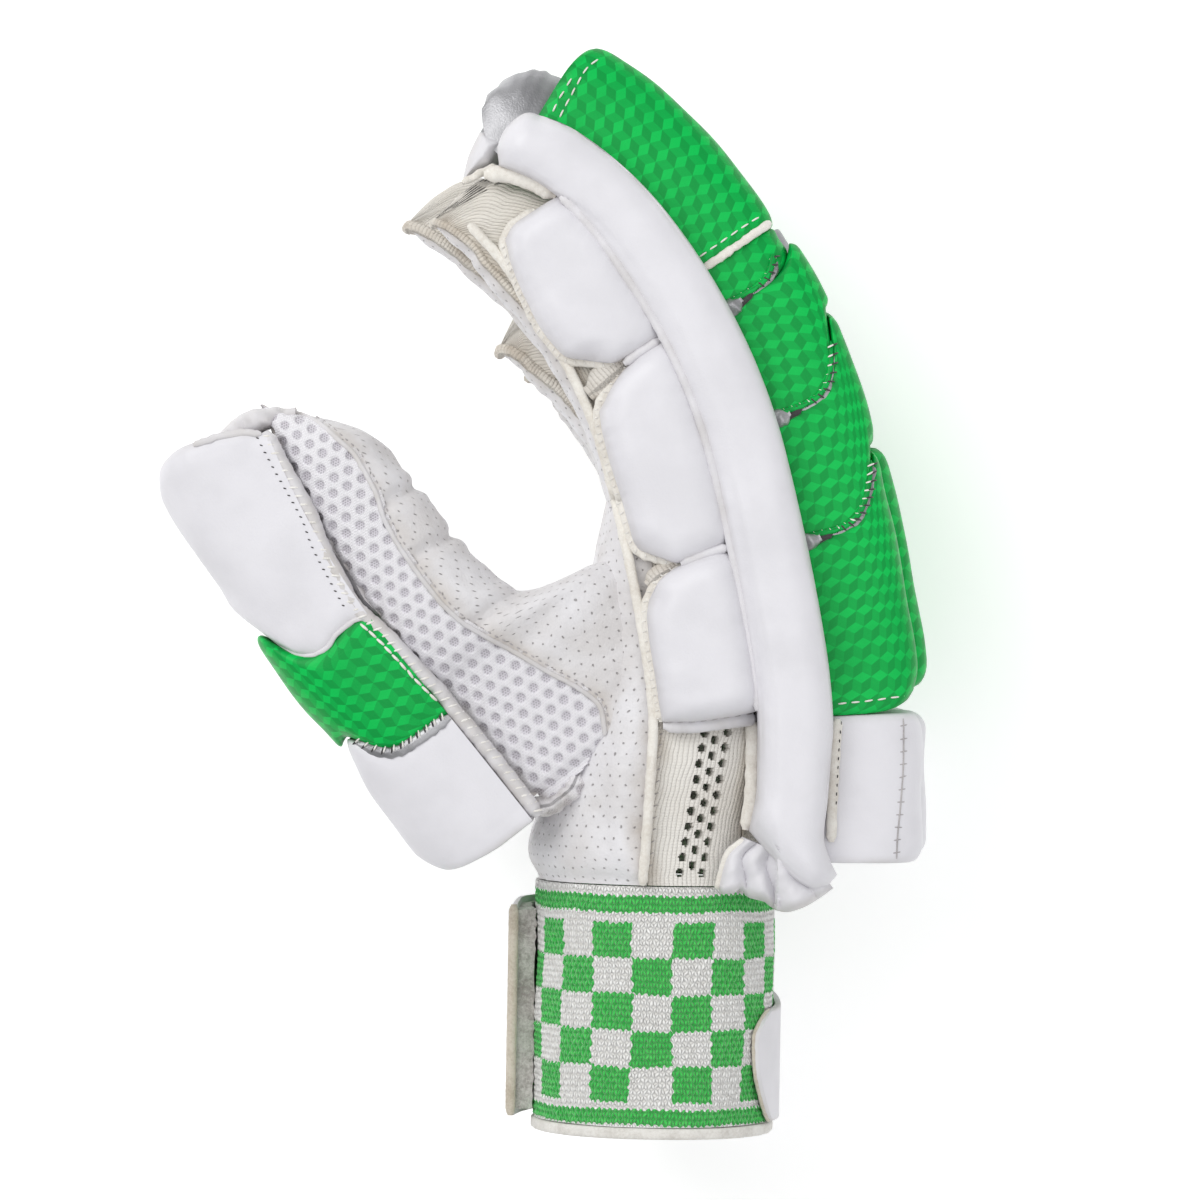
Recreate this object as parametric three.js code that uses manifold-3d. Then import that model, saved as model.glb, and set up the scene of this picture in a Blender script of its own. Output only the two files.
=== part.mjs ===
// A right-hand cricket batting glove lying on its little-finger side, in millimetres.
// +Y runs from the wrist to the fingertips, +X to the back of the hand, +Z to the thumb side.
// Pieces are placed along a guide, a curve up the back of a finger: s is the way along it,
// n the height above it and z the place across the hand.
import * as THREE from 'three';
import Module from 'manifold-3d';
import { mergeVertices } from 'three/addons/utils/BufferGeometryUtils.js';

// Clearance between sewn pieces, round a cut and between rolls, and the walls
const GAP = 0.35;
const CUT_GAP = 0.6;
const ROLL_GAP = 0.8;
const SIDE_GAP = 1.4;
const LEATHER_WALL = 1.6;
const KNIT_WALL = 2.2;

// Hand and fingers
const HAND_LENGTH = 119;
const FINGER_PITCH = 23;
const STALL_DEPTH = 35;
const BACK_SINK = 15;
const INDEX_LENGTH = 121;
const MIDDLE_LENGTH = 128;
const RING_LENGTH = 100;
const LITTLE_LENGTH = 85;

// Rolls and wrist blocks on the back
const INDEX_RISE = 25;
const MIDDLE_RISE = 28;
const RING_RISE = 27;
const LITTLE_RISE = 23;
const BLOCK_RISE = 27;
const FLAP_STEP = 19;

// Padding on the two sides
const BAR_WIDTH = 22;
const BAR_RISE = 13;
const SIDE_PAD_WIDTH = 22.5;
const SIDE_PAD_RISE = 12;
const PIPING_WIDTH = 2;
const PIPING_RISE = 2;
const GATHER_RISE = 7;

// Thumb
const THUMB_LENGTH = 134;
const THUMB_DEPTH = 22;
const THUMB_WIDTH = 38;
const THUMB_PLACE = 40;
const THUMB_OUT = 81;
const THUMB_UP = 18.4;
const THUMB_RISE = 33;
const THUMB_SLANT = 8;

// Cuff and strap
const CUFF_HEIGHT = 69;
const CUFF_DEPTH = 66;
const CUFF_WIDTH = 76;
const CUFF_WALL = 3.2;
const HEM_HEIGHT = 3;
const HEM_LIP = 0.5;
const STRAP_WALL = 2;
const STRAP_HEIGHT = 60;
const STRAP_LOW = 65.4;
const STRAP_STAND_OFF = 4.6;
const HOOK_WALL = 1.6;

// Breathing holes in the side knit
const HOLE = 2.6;
const HOLE_PITCH = 4.7;
const HOLE_ROWS = 8;
const HOLE_COLUMNS = 3;

const HAND_HALF = 2 * FINGER_PITCH;

const PAINT = {
  leather: { color: 0xe6e4e2, roughness: 0.62, metalness: 0 },
  pad: { color: 0xebeaee, roughness: 0.5, metalness: 0 },
  green: { color: 0x0fae4c, roughness: 0.42, metalness: 0 },
  silver: { color: 0x8f8e92, roughness: 0.35, metalness: 0.35 },
  knit: { color: 0xd9d3c9, roughness: 0.92, metalness: 0 },
  mesh: { color: 0xe4e1e6, roughness: 0.85, metalness: 0 },
  cuff: { color: 0x6cc874, roughness: 0.95, metalness: 0 },
  hook: { color: 0x8b867e, roughness: 0.97, metalness: 0 },
};

// Lean of the guide towards the palm, in degrees, along the hand
const HAND_LEAN = [
  { at: 0, lean: -1 },
  { at: 0.35, lean: 1 },
  { at: 0.55, lean: 9 },
  { at: 0.8, lean: 12 },
  { at: 1, lean: 14 },
];
// Share of a finger's own curl, along the finger
const FINGER_CURL = [
  { at: 0, curl: 0 },
  { at: 0.3, curl: 0.27 },
  { at: 0.6, curl: 0.52 },
  { at: 0.85, curl: 0.88 },
  { at: 1, curl: 1 },
];
const THUMB_LEAN = [
  { at: 0, lean: 38 },
  { at: 0.45, lean: 39 },
  { at: 0.7, lean: 30 },
  { at: 1, lean: 20 },
];

const FINGERS = [
  { name: 'index', place: 1.5, length: INDEX_LENGTH, curl: 46, rise: INDEX_RISE, droop: 1 },
  { name: 'middle', place: 0.5, length: MIDDLE_LENGTH, curl: 49, rise: MIDDLE_RISE, droop: 1.5 },
  { name: 'ring', place: -0.5, length: RING_LENGTH, curl: 60, rise: RING_RISE, droop: 1.2 },
  { name: 'little', place: -1.5, length: LITTLE_LENGTH, curl: 56, rise: LITTLE_RISE, droop: 1 },
];

// Hollow of the hand: depth as a share of the cuff's, width as a share of the four fingers'
const HAND_SECTIONS = [
  { at: 0, depth: 1, width: 0.84, square: 2.2 },
  { at: 0.09, depth: 1.02, width: 0.88, square: 2.4 },
  { at: 0.33, depth: 0.88, width: 0.985, square: 3 },
  { at: 0.55, depth: 0.76, width: 0.995, square: 3.6 },
  { at: 0.84, depth: 0.68, width: 0.995, square: 4 },
  { at: 1, depth: 0.6, width: 0.995, square: 4.4 },
];
// Hollow of a finger: depth, width and the sink of its back, with its closed tip at the end
const STALL_SECTIONS = [
  { at: 0, depth: 1, width: 0.985, sink: 1 },
  { at: 0.3, depth: 1, width: 0.985, sink: 1 },
  { at: 0.54, depth: 1, width: 0.975, sink: 1 },
  { at: 0.71, depth: 0.98, width: 0.95, sink: 1.04 },
  { at: 0.88, depth: 0.83, width: 0.88, sink: 1.24 },
  { at: 0.96, depth: 0.6, width: 0.8, sink: 1.48 },
  { at: 1, depth: 0.45, width: 0.72, sink: 1.7 },
  { at: 1.06, depth: 0.14, width: 0.5, sink: 2.15 },
];
const STALL_STOPS = [0, 0.2, 0.4, 0.54, 0.71, 0.88, 0.96, 1, 1.06];
// Hollow of the thumb: it flares into the web at its root
const THUMB_SECTIONS = [
  { at: 0.04, depth: 3, width: 0.74, place: 0.65, square: 2.6 },
  { at: 0.315, depth: 2.75, width: 0.9, place: 0.78, square: 2.6 },
  { at: 0.37, depth: 1.75, width: 0.97, place: 0.84, square: 2.5 },
  { at: 0.45, depth: 1.46, width: 1, place: 0.9, square: 2.4 },
  { at: 0.7, depth: 1.36, width: 0.98, place: 0.98, square: 2.4 },
  { at: 0.85, depth: 1.16, width: 0.93, place: 1.02, square: 2.4 },
  { at: 0.95, depth: 0.78, width: 0.8, place: 1.03, square: 2.3 },
  { at: 1.005, depth: 0.3, width: 0.5, place: 1.04, square: 2.2 },
];

// Back rolls. Marks run from 0 at the wrist to 1 at the finger root and 2 at the tip.
// near and far say how much of the sewn flap's step each end of a roll follows.
const INDEX_ROLLS = [
  { name: 'hand_roll', from: 0.395, to: 0.8, rise: 0.97, near: 0.25, far: 1, paint: 'green' },
  { name: 'knuckle_roll', from: 0.8, to: 1.085, rise: 1, near: 1, far: 1, paint: 'green' },
  { name: 'middle_roll', from: 1.085, to: 1.355, rise: 1, near: 1, far: 0.35, paint: 'green' },
  { name: 'small_roll', from: 1.355, to: 1.455, rise: 0.86, near: 0.35, far: 0, paint: 'green' },
  { name: 'tip_guard', from: 1.455, to: 1.96, rise: 0.91, near: 0, far: -0.7, paint: 'green' },
  { name: 'tip_cap', from: 1.96, to: 2.08, rise: 0.4, near: -0.7, far: 0, paint: 'silver' },
];
const OTHER_ROLLS = [
  { name: 'hand_roll', from: 0.395, to: 0.8, rise: 1, near: 0.25, far: 1, paint: 'green' },
  { name: 'knuckle_roll', from: 0.8, to: 1.085, rise: 0.93, near: 1, far: 1, paint: 'green' },
  { name: 'middle_roll', from: 1.085, to: 1.43, rise: 0.86, near: 1, far: 0, paint: 'silver' },
  { name: 'tip_guard', from: 1.43, to: 1.9, rise: 0.78, near: 0, far: -0.7, paint: 'green' },
  { name: 'tip_cap', from: 1.9, to: 2.01, rise: 0.36, near: -0.7, far: 0, paint: 'silver' },
];
// A roll's rise and width from one end to the other, and a tip cap's, which rounds off
const ROLL_CROWN = [
  { at: 0, rise: 0.8, width: 0.93 },
  { at: 0.16, rise: 0.98, width: 1 },
  { at: 0.5, rise: 1, width: 1 },
  { at: 0.84, rise: 0.98, width: 1 },
  { at: 1, rise: 0.8, width: 0.93 },
];
const CAP_CROWN = [
  { at: 0, rise: 1, width: 0.95 },
  { at: 0.3, rise: 0.97, width: 0.95 },
  { at: 0.6, rise: 0.75, width: 0.9 },
  { at: 0.85, rise: 0.3, width: 0.8 },
  { at: 1, rise: -0.5, width: 0.65 },
];
const WRIST_BLOCKS = [
  { name: 'wrist_block_thumb_side', from: 1 / 3, rise: 0.9 },
  { name: 'wrist_block_middle', from: -1 / 3, rise: 1 },
  { name: 'wrist_block_little_side', from: -1, rise: 0.9 },
];

// Side pads by the same marks. slant is the step of each end at the palm edge, in pad widths.
const THUMB_SIDE_PADS = [
  { name: 'index_side_pad_tip', from: 1.365, to: 1.79, near: 0, far: 0.1, width: 0.76 },
  { name: 'index_side_pad_middle', from: 0.82, to: 1.345, near: 0.28, far: -0.15, width: 0.98 },
  { name: 'index_side_pad_base', from: 0.37, to: 0.8, near: 0, far: -0.48, width: 1 },
];
const LITTLE_SIDE_PADS = [
  { name: 'little_side_pad_tip', from: 1.2, to: 1.75, near: 0, far: 0.1, width: 0.8 },
  { name: 'little_side_pad_middle', from: 0.78, to: 1.18, near: 0.2, far: -0.1, width: 1 },
  { name: 'little_side_pad_base', from: 0.1, to: 0.76, near: 0, far: -0.2, width: 1.5 },
];
// The seam beside the thumb-side pads, by the same marks
const PIPING_LINE = [
  { at: 0, n: -51 },
  { at: 0.38, n: -47.5 },
  { at: 1.78, n: -47 },
  { at: 1.95, n: -45.5 },
  { at: 2, n: -44 },
];
const PAD_ACROSS = [
  { at: 0, rise: 0.55 },
  { at: 0.1, rise: 0.94 },
  { at: 0.3, rise: 1 },
  { at: 0.5, rise: 1 },
  { at: 0.7, rise: 1 },
  { at: 0.9, rise: 0.94 },
  { at: 1, rise: 0.55 },
];
const PAD_ALONG = [
  { at: 0, rise: 0.6 },
  { at: 0.07, rise: 0.96 },
  { at: 0.35, rise: 1 },
  { at: 0.65, rise: 1 },
  { at: 0.93, rise: 0.96 },
  { at: 1, rise: 0.6 },
];
// The side bars run the length of the hand and a finger, round at both ends
const BAR_ACROSS = [
  { at: 0, rise: 0.5 },
  { at: 0.12, rise: 0.94 },
  { at: 0.3, rise: 1 },
  { at: 0.71, rise: 1 },
  { at: 0.9, rise: 0.94 },
  { at: 1, rise: 0.5 },
];
const BAR_ALONG = [
  { at: 0, rise: 0.5, width: 0.9 },
  { at: 0.02, rise: 0.94, width: 0.96 },
  { at: 0.07, rise: 1, width: 1 },
  { at: 0.2, rise: 1, width: 1 },
  { at: 0.3, rise: 1, width: 1 },
  { at: 0.4, rise: 1, width: 1 },
  { at: 0.5, rise: 1, width: 1 },
  { at: 0.6, rise: 1, width: 1 },
  { at: 0.7, rise: 1, width: 1 },
  { at: 0.8, rise: 1, width: 1 },
  { at: 0.9, rise: 0.97, width: 1 },
  { at: 0.98, rise: 0.86, width: 1 },
  { at: 1, rise: 0.5, width: 0.9 },
];
// Thumb pads, as shares of its length
const THUMB_PADS = [
  { name: 'thumb_base_pad', from: 0, to: 0.27, rise: 1, far: 1, paint: 'pad' },
  { name: 'thumb_middle_pad', from: 0.27, to: 0.53, rise: 0.97, far: 1, paint: 'green' },
  { name: 'thumb_tip_pad', from: 0.53, to: 0.985, rise: 1.09, far: 0, paint: 'pad' },
];
// The strap from its tab on the back to its free end on the palm
const STRAP_SHAPE = [
  { at: 0, height: 0.42, stand: 0 },
  { at: 0.05, height: 0.52, stand: 0 },
  { at: 0.3, height: 0.62, stand: 0 },
  { at: 0.6, height: 0.95, stand: 0 },
  { at: 0.8, height: 1, stand: 0.02 },
  { at: 0.9, height: 1, stand: 0.32 },
  { at: 0.95, height: 1, stand: 0.64 },
  { at: 1, height: 0.97, stand: 1 },
];

const wasm = await Module();
wasm.setup();

const glove = new THREE.Group();

// A value between the rows of a table, by its named column
function between(rows, name, at) {
  const next = rows.findIndex((row) => at <= row.at);
  if (next === 0) return rows[0][name];
  if (next < 0) return rows[rows.length - 1][name];
  const [a, b] = [rows[next - 1], rows[next]];
  return THREE.MathUtils.lerp(a[name], b[name], (at - a.at) / (b.at - a.at));
}

// count + 1 numbers from a to b
function steps(a, b, count) {
  return Array.from({ length: count + 1 }, (_, i) => a + ((b - a) * i) / count);
}

// A guide curve in the XY plane from (x, y), leaning as leanAt(s) says, straight past its ends.
// outward is 1 where heights run to the back of the hand, and -1 on the thumb.
function makeGuide(x, y, length, leanAt, outward) {
  const points = [new THREE.Vector2(x, y)];
  const leans = [THREE.MathUtils.degToRad(leanAt(0))];
  for (let s = 1; s <= length; s += 1) {
    const last = leans[s - 1];
    points.push(points[s - 1].clone().add(new THREE.Vector2(-Math.sin(last), Math.cos(last))));
    leans.push(THREE.MathUtils.degToRad(leanAt(s)));
  }
  return (s, n, z) => {
    const i = Math.min(Math.max(Math.floor(s), 0), points.length - 2);
    const share = s - i;
    const lean = THREE.MathUtils.lerp(leans[i], leans[i + 1], THREE.MathUtils.clamp(share, 0, 1));
    const base = points[i].clone().lerp(points[i + 1], share);
    const height = outward * n;
    return new THREE.Vector3(base.x + height * Math.cos(lean), base.y + height * Math.sin(lean), z);
  };
}

// Distance along a finger's guide of a mark from 0 at the wrist to 2 at the tip
function station(finger, mark) {
  return mark <= 1 ? mark * HAND_LENGTH : HAND_LENGTH + (mark - 1) * finger.length;
}

function fingerLean(finger, s) {
  if (s <= HAND_LENGTH) return between(HAND_LEAN, 'lean', s / HAND_LENGTH);
  const along = (s - HAND_LENGTH) / finger.length;
  return between(HAND_LEAN, 'lean', 1) + finger.curl * between(FINGER_CURL, 'curl', along);
}

for (const finger of FINGERS) {
  const reach = HAND_LENGTH + finger.length;
  finger.guide = makeGuide(0, 0, reach, (s) => fingerLean(finger, s), 1);
  finger.centre = finger.place * FINGER_PITCH;
}
const INDEX = FINGERS[0];
const LITTLE = FINGERS[3];
const thumbLean = (s) => between(THUMB_LEAN, 'lean', s / THUMB_LENGTH);
const thumbGuide = makeGuide(-THUMB_OUT, THUMB_UP, THUMB_LENGTH, thumbLean, -1);

// Turns the faces of a closed body outwards and makes its geometry
function closedBody(points, faces) {
  let volume = 0;
  for (let i = 0; i < faces.length; i += 3) {
    const [a, b, c] = [points[faces[i]], points[faces[i + 1]], points[faces[i + 2]]];
    volume += a.dot(new THREE.Vector3().crossVectors(b, c));
  }
  if (volume < 0) faces.reverse();
  const geometry = new THREE.BufferGeometry().setFromPoints(points);
  geometry.setIndex(faces);
  return geometry;
}

// A closed body between two grids of points with the same rows and columns.
// A wrapped grid joins its last column to its first.
function slab(outer, inner, wrap = false) {
  const rows = outer.length;
  const cols = outer[0].length;
  const spans = wrap ? cols : cols - 1;
  const faces = [];
  const at = (side, r, c) => side * rows * cols + r * cols + (c % cols);
  const quad = (a, b, c, d) => faces.push(a, b, c, a, c, d);
  for (let r = 0; r < rows - 1; r += 1) {
    for (let c = 0; c < spans; c += 1) {
      quad(at(0, r, c), at(0, r, c + 1), at(0, r + 1, c + 1), at(0, r + 1, c));
      quad(at(1, r, c), at(1, r + 1, c), at(1, r + 1, c + 1), at(1, r, c + 1));
    }
    if (!wrap) {
      const last = cols - 1;
      quad(at(0, r, 0), at(0, r + 1, 0), at(1, r + 1, 0), at(1, r, 0));
      quad(at(0, r + 1, last), at(0, r, last), at(1, r, last), at(1, r + 1, last));
    }
  }
  const top = rows - 1;
  for (let c = 0; c < spans; c += 1) {
    quad(at(0, 0, c), at(1, 0, c), at(1, 0, c + 1), at(0, 0, c + 1));
    quad(at(0, top, c), at(0, top, c + 1), at(1, top, c + 1), at(1, top, c));
  }
  return closedBody([...outer.flat(), ...inner.flat()], faces);
}

function toSolid(geometry) {
  geometry.deleteAttribute('normal');
  geometry.deleteAttribute('uv');
  const merged = mergeVertices(geometry);
  return new wasm.Manifold(new wasm.Mesh({
    numProp: 3,
    vertProperties: merged.attributes.position.array,
    triVerts: Uint32Array.from(merged.index.array),
  }));
}

function fromSolid(solid) {
  const mesh = solid.getMesh();
  const geometry = new THREE.BufferGeometry();
  geometry.setAttribute('position', new THREE.BufferAttribute(mesh.vertProperties, 3));
  geometry.setIndex(new THREE.BufferAttribute(mesh.triVerts, 1));
  return geometry;
}

function add(name, geometry, paint) {
  geometry.computeVertexNormals();
  const mesh = new THREE.Mesh(geometry, new THREE.MeshStandardMaterial(PAINT[paint]));
  mesh.name = name;
  glove.add(mesh);
}

// A point of a rounded-square section of half size 1, with angle 0 at the back
function squarePoint(square, degrees) {
  const angle = THREE.MathUtils.degToRad(degrees);
  const bend = (v) => Math.sign(v) * Math.abs(v) ** (2 / square);
  return { n: bend(Math.cos(angle)), z: bend(Math.sin(angle)) };
}

// Sections of the hollows: the guide, the back face, depth, middle, half width and squareness
function handSection(s) {
  const at = s / HAND_LENGTH;
  return {
    guide: INDEX.guide,
    s,
    back: -BACK_SINK,
    depth: CUFF_DEPTH * between(HAND_SECTIONS, 'depth', at),
    centre: 0,
    half: HAND_HALF * between(HAND_SECTIONS, 'width', at),
    square: between(HAND_SECTIONS, 'square', at),
  };
}

// How far a finger's hollow lies below its guide, as a share; droop sinks the tip further
function stallSink(finger, along) {
  return 1 + (between(STALL_SECTIONS, 'sink', along) - 1) * finger.droop;
}

function stallSection(finger, along) {
  return {
    guide: finger.guide,
    s: station(finger, 1 + along),
    back: -BACK_SINK * stallSink(finger, along),
    depth: STALL_DEPTH * between(STALL_SECTIONS, 'depth', along),
    centre: finger.centre,
    half: (FINGER_PITCH / 2) * between(STALL_SECTIONS, 'width', along),
    square: 3.4,
  };
}

function thumbSection(along) {
  return {
    guide: thumbGuide,
    s: along * THUMB_LENGTH,
    back: 0,
    depth: THUMB_DEPTH * between(THUMB_SECTIONS, 'depth', along),
    centre: THUMB_PLACE * between(THUMB_SECTIONS, 'place', along),
    half: (THUMB_WIDTH / 2) * between(THUMB_SECTIONS, 'width', along),
    square: between(THUMB_SECTIONS, 'square', along),
  };
}

function cuffSection(s) {
  return { ...handSection(0), s, depth: CUFF_DEPTH, half: CUFF_WIDTH / 2 };
}

// One row of points round a section, taken in by inset
function ring(section, angles, inset) {
  const middle = section.back - section.depth / 2;
  const halfDepth = Math.max(section.depth / 2 - inset, 0.4);
  const half = Math.max(section.half - inset, 0.4);
  return angles.map((degrees) => {
    const p = squarePoint(section.square, degrees);
    return section.guide(section.s, middle + halfDepth * p.n, section.centre + half * p.z);
  });
}

// A wall between two insets round part of a row of sections
function wall(sections, from, to, count, outset, inset) {
  const angles = steps(from, to, count);
  const wrap = to - from === 360;
  if (wrap) angles.pop();
  const grid = (amount) => sections.map((section) => ring(section, angles, amount));
  return slab(grid(outset), grid(inset), wrap);
}

// The filled body inside a row of sections, for cutting
function core(sections, inset) {
  const angles = steps(0, 360, 32).slice(0, -1);
  const cols = angles.length;
  const rows = sections.map((section) => ring(section, angles, inset));
  const points = rows.flat();
  const faces = [];
  for (let i = 0; i < (rows.length - 1) * cols; i += 1) {
    const next = (i + 1) % cols === 0 ? i + 1 - cols : i + 1;
    faces.push(i, next, next + cols, i, next + cols, i + cols);
  }
  [0, rows.length - 1].forEach((r) => {
    const sum = rows[r].reduce((total, p) => total.add(p), new THREE.Vector3());
    points.push(sum.divideScalar(cols));
    for (let c = 0; c < cols; c += 1) {
      const [a, b] = [r * cols + c, r * cols + ((c + 1) % cols)];
      faces.push(...(r ? [a, b, points.length - 1] : [b, a, points.length - 1]));
    }
  });
  return toSolid(closedBody(points, faces));
}

// The base of side padding, as a distance from the middle plane of the hand: level beside
// the rolls, and on the side wall of the hand or finger below them
function sideBase(finger, s, n) {
  const along = (s - HAND_LENGTH) / finger.length;
  const section = along <= 0 ? handSection(Math.max(s, 0)) : stallSection(finger, along);
  if (n > section.back - 1) return HAND_HALF + GAP;
  const away = Math.abs(n - section.back + section.depth / 2) / (section.depth / 2);
  const share = Math.max(1 - Math.min(away, 1) ** section.square, 0) ** (1 / section.square);
  const clear = along <= 0 ? SIDE_GAP : SIDE_GAP + GAP;
  return Math.max(Math.abs(section.centre) + section.half * share, HAND_HALF * 0.8) + clear;
}

// Stuffed padding on one side of the hand. edges(s) gives its n at the back and palm edges,
// and slant(v) moves its ends along.
function sidePadding(name, finger, side, marks, edges, across, along, rise) {
  const [s0, s1] = marks;
  const grid = (top) => along.map((row) => across.map((column) => {
    const slant = Math.max(column.at - 0.4, 0) / 0.6;
    const s = THREE.MathUtils.lerp(s0.s + s0.slant * slant, s1.s + s1.slant * slant, row.at);
    const [near, far] = edges(s, row);
    const n = THREE.MathUtils.lerp(near, far, column.at);
    const base = sideBase(finger, s, n);
    const level = HAND_HALF + GAP + rise;
    const z = top ? base + (level - base) * row.rise * column.rise : base;
    return finger.guide(s, n, side * z);
  }));
  add(name, slab(grid(true), grid(false)), 'pad');
}

function buildBar(name, finger, side) {
  const ends = [{ s: -1, slant: 27 }, { s: station(finger, 1.97), slant: 2 }];
  const edges = (s, row) => [-0.5 - 4 * (1 - row.width), -BAR_WIDTH * row.width - 4 * (1 - row.width)];
  sidePadding(name, finger, side, ends, edges, BAR_ACROSS, BAR_ALONG, BAR_RISE);
}

function buildSidePads(pads, finger, side, rise) {
  for (const pad of pads) {
    const ends = [
      { s: station(finger, pad.from), slant: pad.near * SIDE_PAD_WIDTH },
      { s: station(finger, pad.to), slant: pad.far * SIDE_PAD_WIDTH },
    ];
    const near = -BAR_WIDTH - ROLL_GAP;
    const edges = () => [near, near - SIDE_PAD_WIDTH * pad.width];
    sidePadding(pad.name, finger, side, ends, edges, PAD_ACROSS, PAD_ALONG, rise);
  }
}

// The raised seam between the side and the palm, from the wrist to the forefinger's tip
function buildPiping() {
  const onFinger = STALL_STOPS.slice(1, 7).map((along) => station(INDEX, 1 + along));
  const stops = [...steps(2, HAND_LENGTH, 6), ...onFinger];
  const grid = (top) => stops.map((s) => [0.5, -0.5].map((side) => {
    const n = between(PIPING_LINE, 'n', s / HAND_LENGTH) + side * PIPING_WIDTH;
    return INDEX.guide(s, n, sideBase(INDEX, s, n) + 2 * GAP + (top ? PIPING_RISE : 0));
  }));
  add('piping', slab(grid(true), grid(false)), 'knit');
}

// The crumpled leather between the end of the thumb-side bar and the cuff
function buildGather() {
  const across = steps(0, 1, 8);
  const along = steps(0, 1, 5);
  const grid = (top) => along.map((u) => across.map((v) => {
    const s = THREE.MathUtils.lerp(-6, 12, u);
    const n = THREE.MathUtils.lerp(-12.5 - s / 2, -36, v);
    const base = sideBase(INDEX, s, n) - SIDE_GAP + 2 * GAP;
    const lobe = 0.55 + 0.45 * Math.cos(v * 6 * Math.PI + u * 2);
    const edge = Math.min(u, 1 - u, v, 1 - v) > 0 ? 1 : 0.25;
    return INDEX.guide(s, n, base + (top ? GATHER_RISE * lobe * edge + 0.8 : 0));
  }));
  add('gather', slab(grid(true), grid(false)), 'leather');
}

const handSections = steps(0, HAND_LENGTH, 8).map((s) => handSection(s));
const thumbSections = [0.04, 0.2, ...THUMB_SECTIONS.slice(1).map((row) => row.at)].map(thumbSection);
const handCore = core([handSection(-4), ...handSections], -CUT_GAP);
const thumbHollow = core(thumbSections, LEATHER_WALL);
const thumbOutside = core(thumbSections, -CUT_GAP);

// Seams round the hand, in degrees from the back, and the half gap at a seam
const KNIT_FROM = 50;
const KNIT_TO = 94;
const LITTLE_SEAM = 255;
const SEAM = 0.6;

function buildHand() {
  const palm = toSolid(wall(handSections, KNIT_TO + SEAM, LITTLE_SEAM, 11, 0, LEATHER_WALL));
  add('palm', fromSolid(palm.subtract(thumbHollow)), 'leather');
  const back = wall(handSections, LITTLE_SEAM - 360 + 2 * SEAM, KNIT_FROM - SEAM, 9, 0, KNIT_WALL);
  add('hand_back', back, 'knit');
}

// The side knit between the palm and the back, with its slanted rows of breathing holes
function buildSideKnit() {
  let knit = toSolid(wall(handSections, KNIT_FROM + SEAM, KNIT_TO - SEAM, 4, 0, KNIT_WALL));
  knit = knit.subtract(thumbOutside);
  const cutter = new THREE.CylinderGeometry(HOLE / 2, HOLE / 2, 30, 4);
  cutter.rotateX(Math.PI / 2);
  const hole = toSolid(cutter);
  for (let row = 0; row < HOLE_ROWS; row += 1) {
    for (let column = 0; column < HOLE_COLUMNS; column += 1) {
      const s = 4 + (row + (column % 2) / 2) * HOLE_PITCH;
      const n = -43.6 + 0.17 * s + column * 3.1;
      const place = INDEX.guide(s, n, HAND_HALF - 4);
      knit = knit.subtract(hole.translate([place.x, place.y, place.z]));
    }
  }
  add('side_knit', fromSolid(knit), 'knit');
}

function buildStalls() {
  for (const finger of FINGERS) {
    const sections = STALL_STOPS.map((along) => stallSection(finger, along));
    sections[0].s += GAP;
    add(`${finger.name}_front`, wall(sections, 130, 230, 5, 0, LEATHER_WALL), 'leather');
    add(`${finger.name}_stall`, wall(sections, -128, 128, 10, 0, LEATHER_WALL), 'knit');
  }
}

// How far the end of a roll steps towards the fingertip at height n, as sewn flaps do
function flapStep(n) {
  return FLAP_STEP * Math.max(n / INDEX_RISE, 0) ** 3;
}

// A stuffed roll between low and high across the hand
function roll(finger, row, rise, low, high) {
  const s0 = station(finger, row.from) + ROLL_GAP / 2;
  const s1 = station(finger, row.to) - ROLL_GAP / 2;
  const angles = steps(180, 0, 6);
  const crowns = row.name === 'tip_cap' ? CAP_CROWN : ROLL_CROWN;
  const grid = (top) => crowns.map((crown) => angles.map((degrees) => {
    const p = squarePoint(3, degrees);
    const level = s0 + (s1 - s0) * crown.at;
    const sink = stallSink(finger, Math.max((level - HAND_LENGTH) / finger.length - 0.05, 0));
    const base = -BACK_SINK * sink + GAP * sink ** 4;
    const edge = base + (rise - base) * 0.3;
    const crest = crowns === ROLL_CROWN && crown.rise < 0.9
      ? Math.min(crown.rise * finger.rise, rise * 0.97) : crown.rise * rise;
    const n = top ? edge + (crest - edge) * p.z : base;
    const step = flapStep(n);
    const s = THREE.MathUtils.lerp(s0 + row.near * step, s1 + row.far * step, crown.at);
    const half = ((high - low) / 2) * crown.width * (top ? 1 : 0.96);
    return finger.guide(s, n, (high + low) / 2 + half * p.n);
  }));
  return slab(grid(true), grid(false));
}

function buildRolls() {
  for (const finger of FINGERS) {
    const half = FINGER_PITCH / 2 - GAP / 2;
    const [low, high] = [finger.centre - half, finger.centre + half];
    for (const row of finger === INDEX ? INDEX_ROLLS : OTHER_ROLLS) {
      const shape = roll(finger, row, finger.rise * row.rise, low, high);
      add(`${finger.name}_${row.name}`, shape, row.paint);
    }
  }
  for (const block of WRIST_BLOCKS) {
    const low = HAND_HALF * block.from + GAP / 2;
    const high = low + (HAND_HALF * 2) / 3 - GAP;
    const row = { from: 0.06, to: 0.395, near: 0, far: 0 };
    add(block.name, roll(INDEX, row, BLOCK_RISE * block.rise, low, high), 'pad');
  }
}

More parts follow.
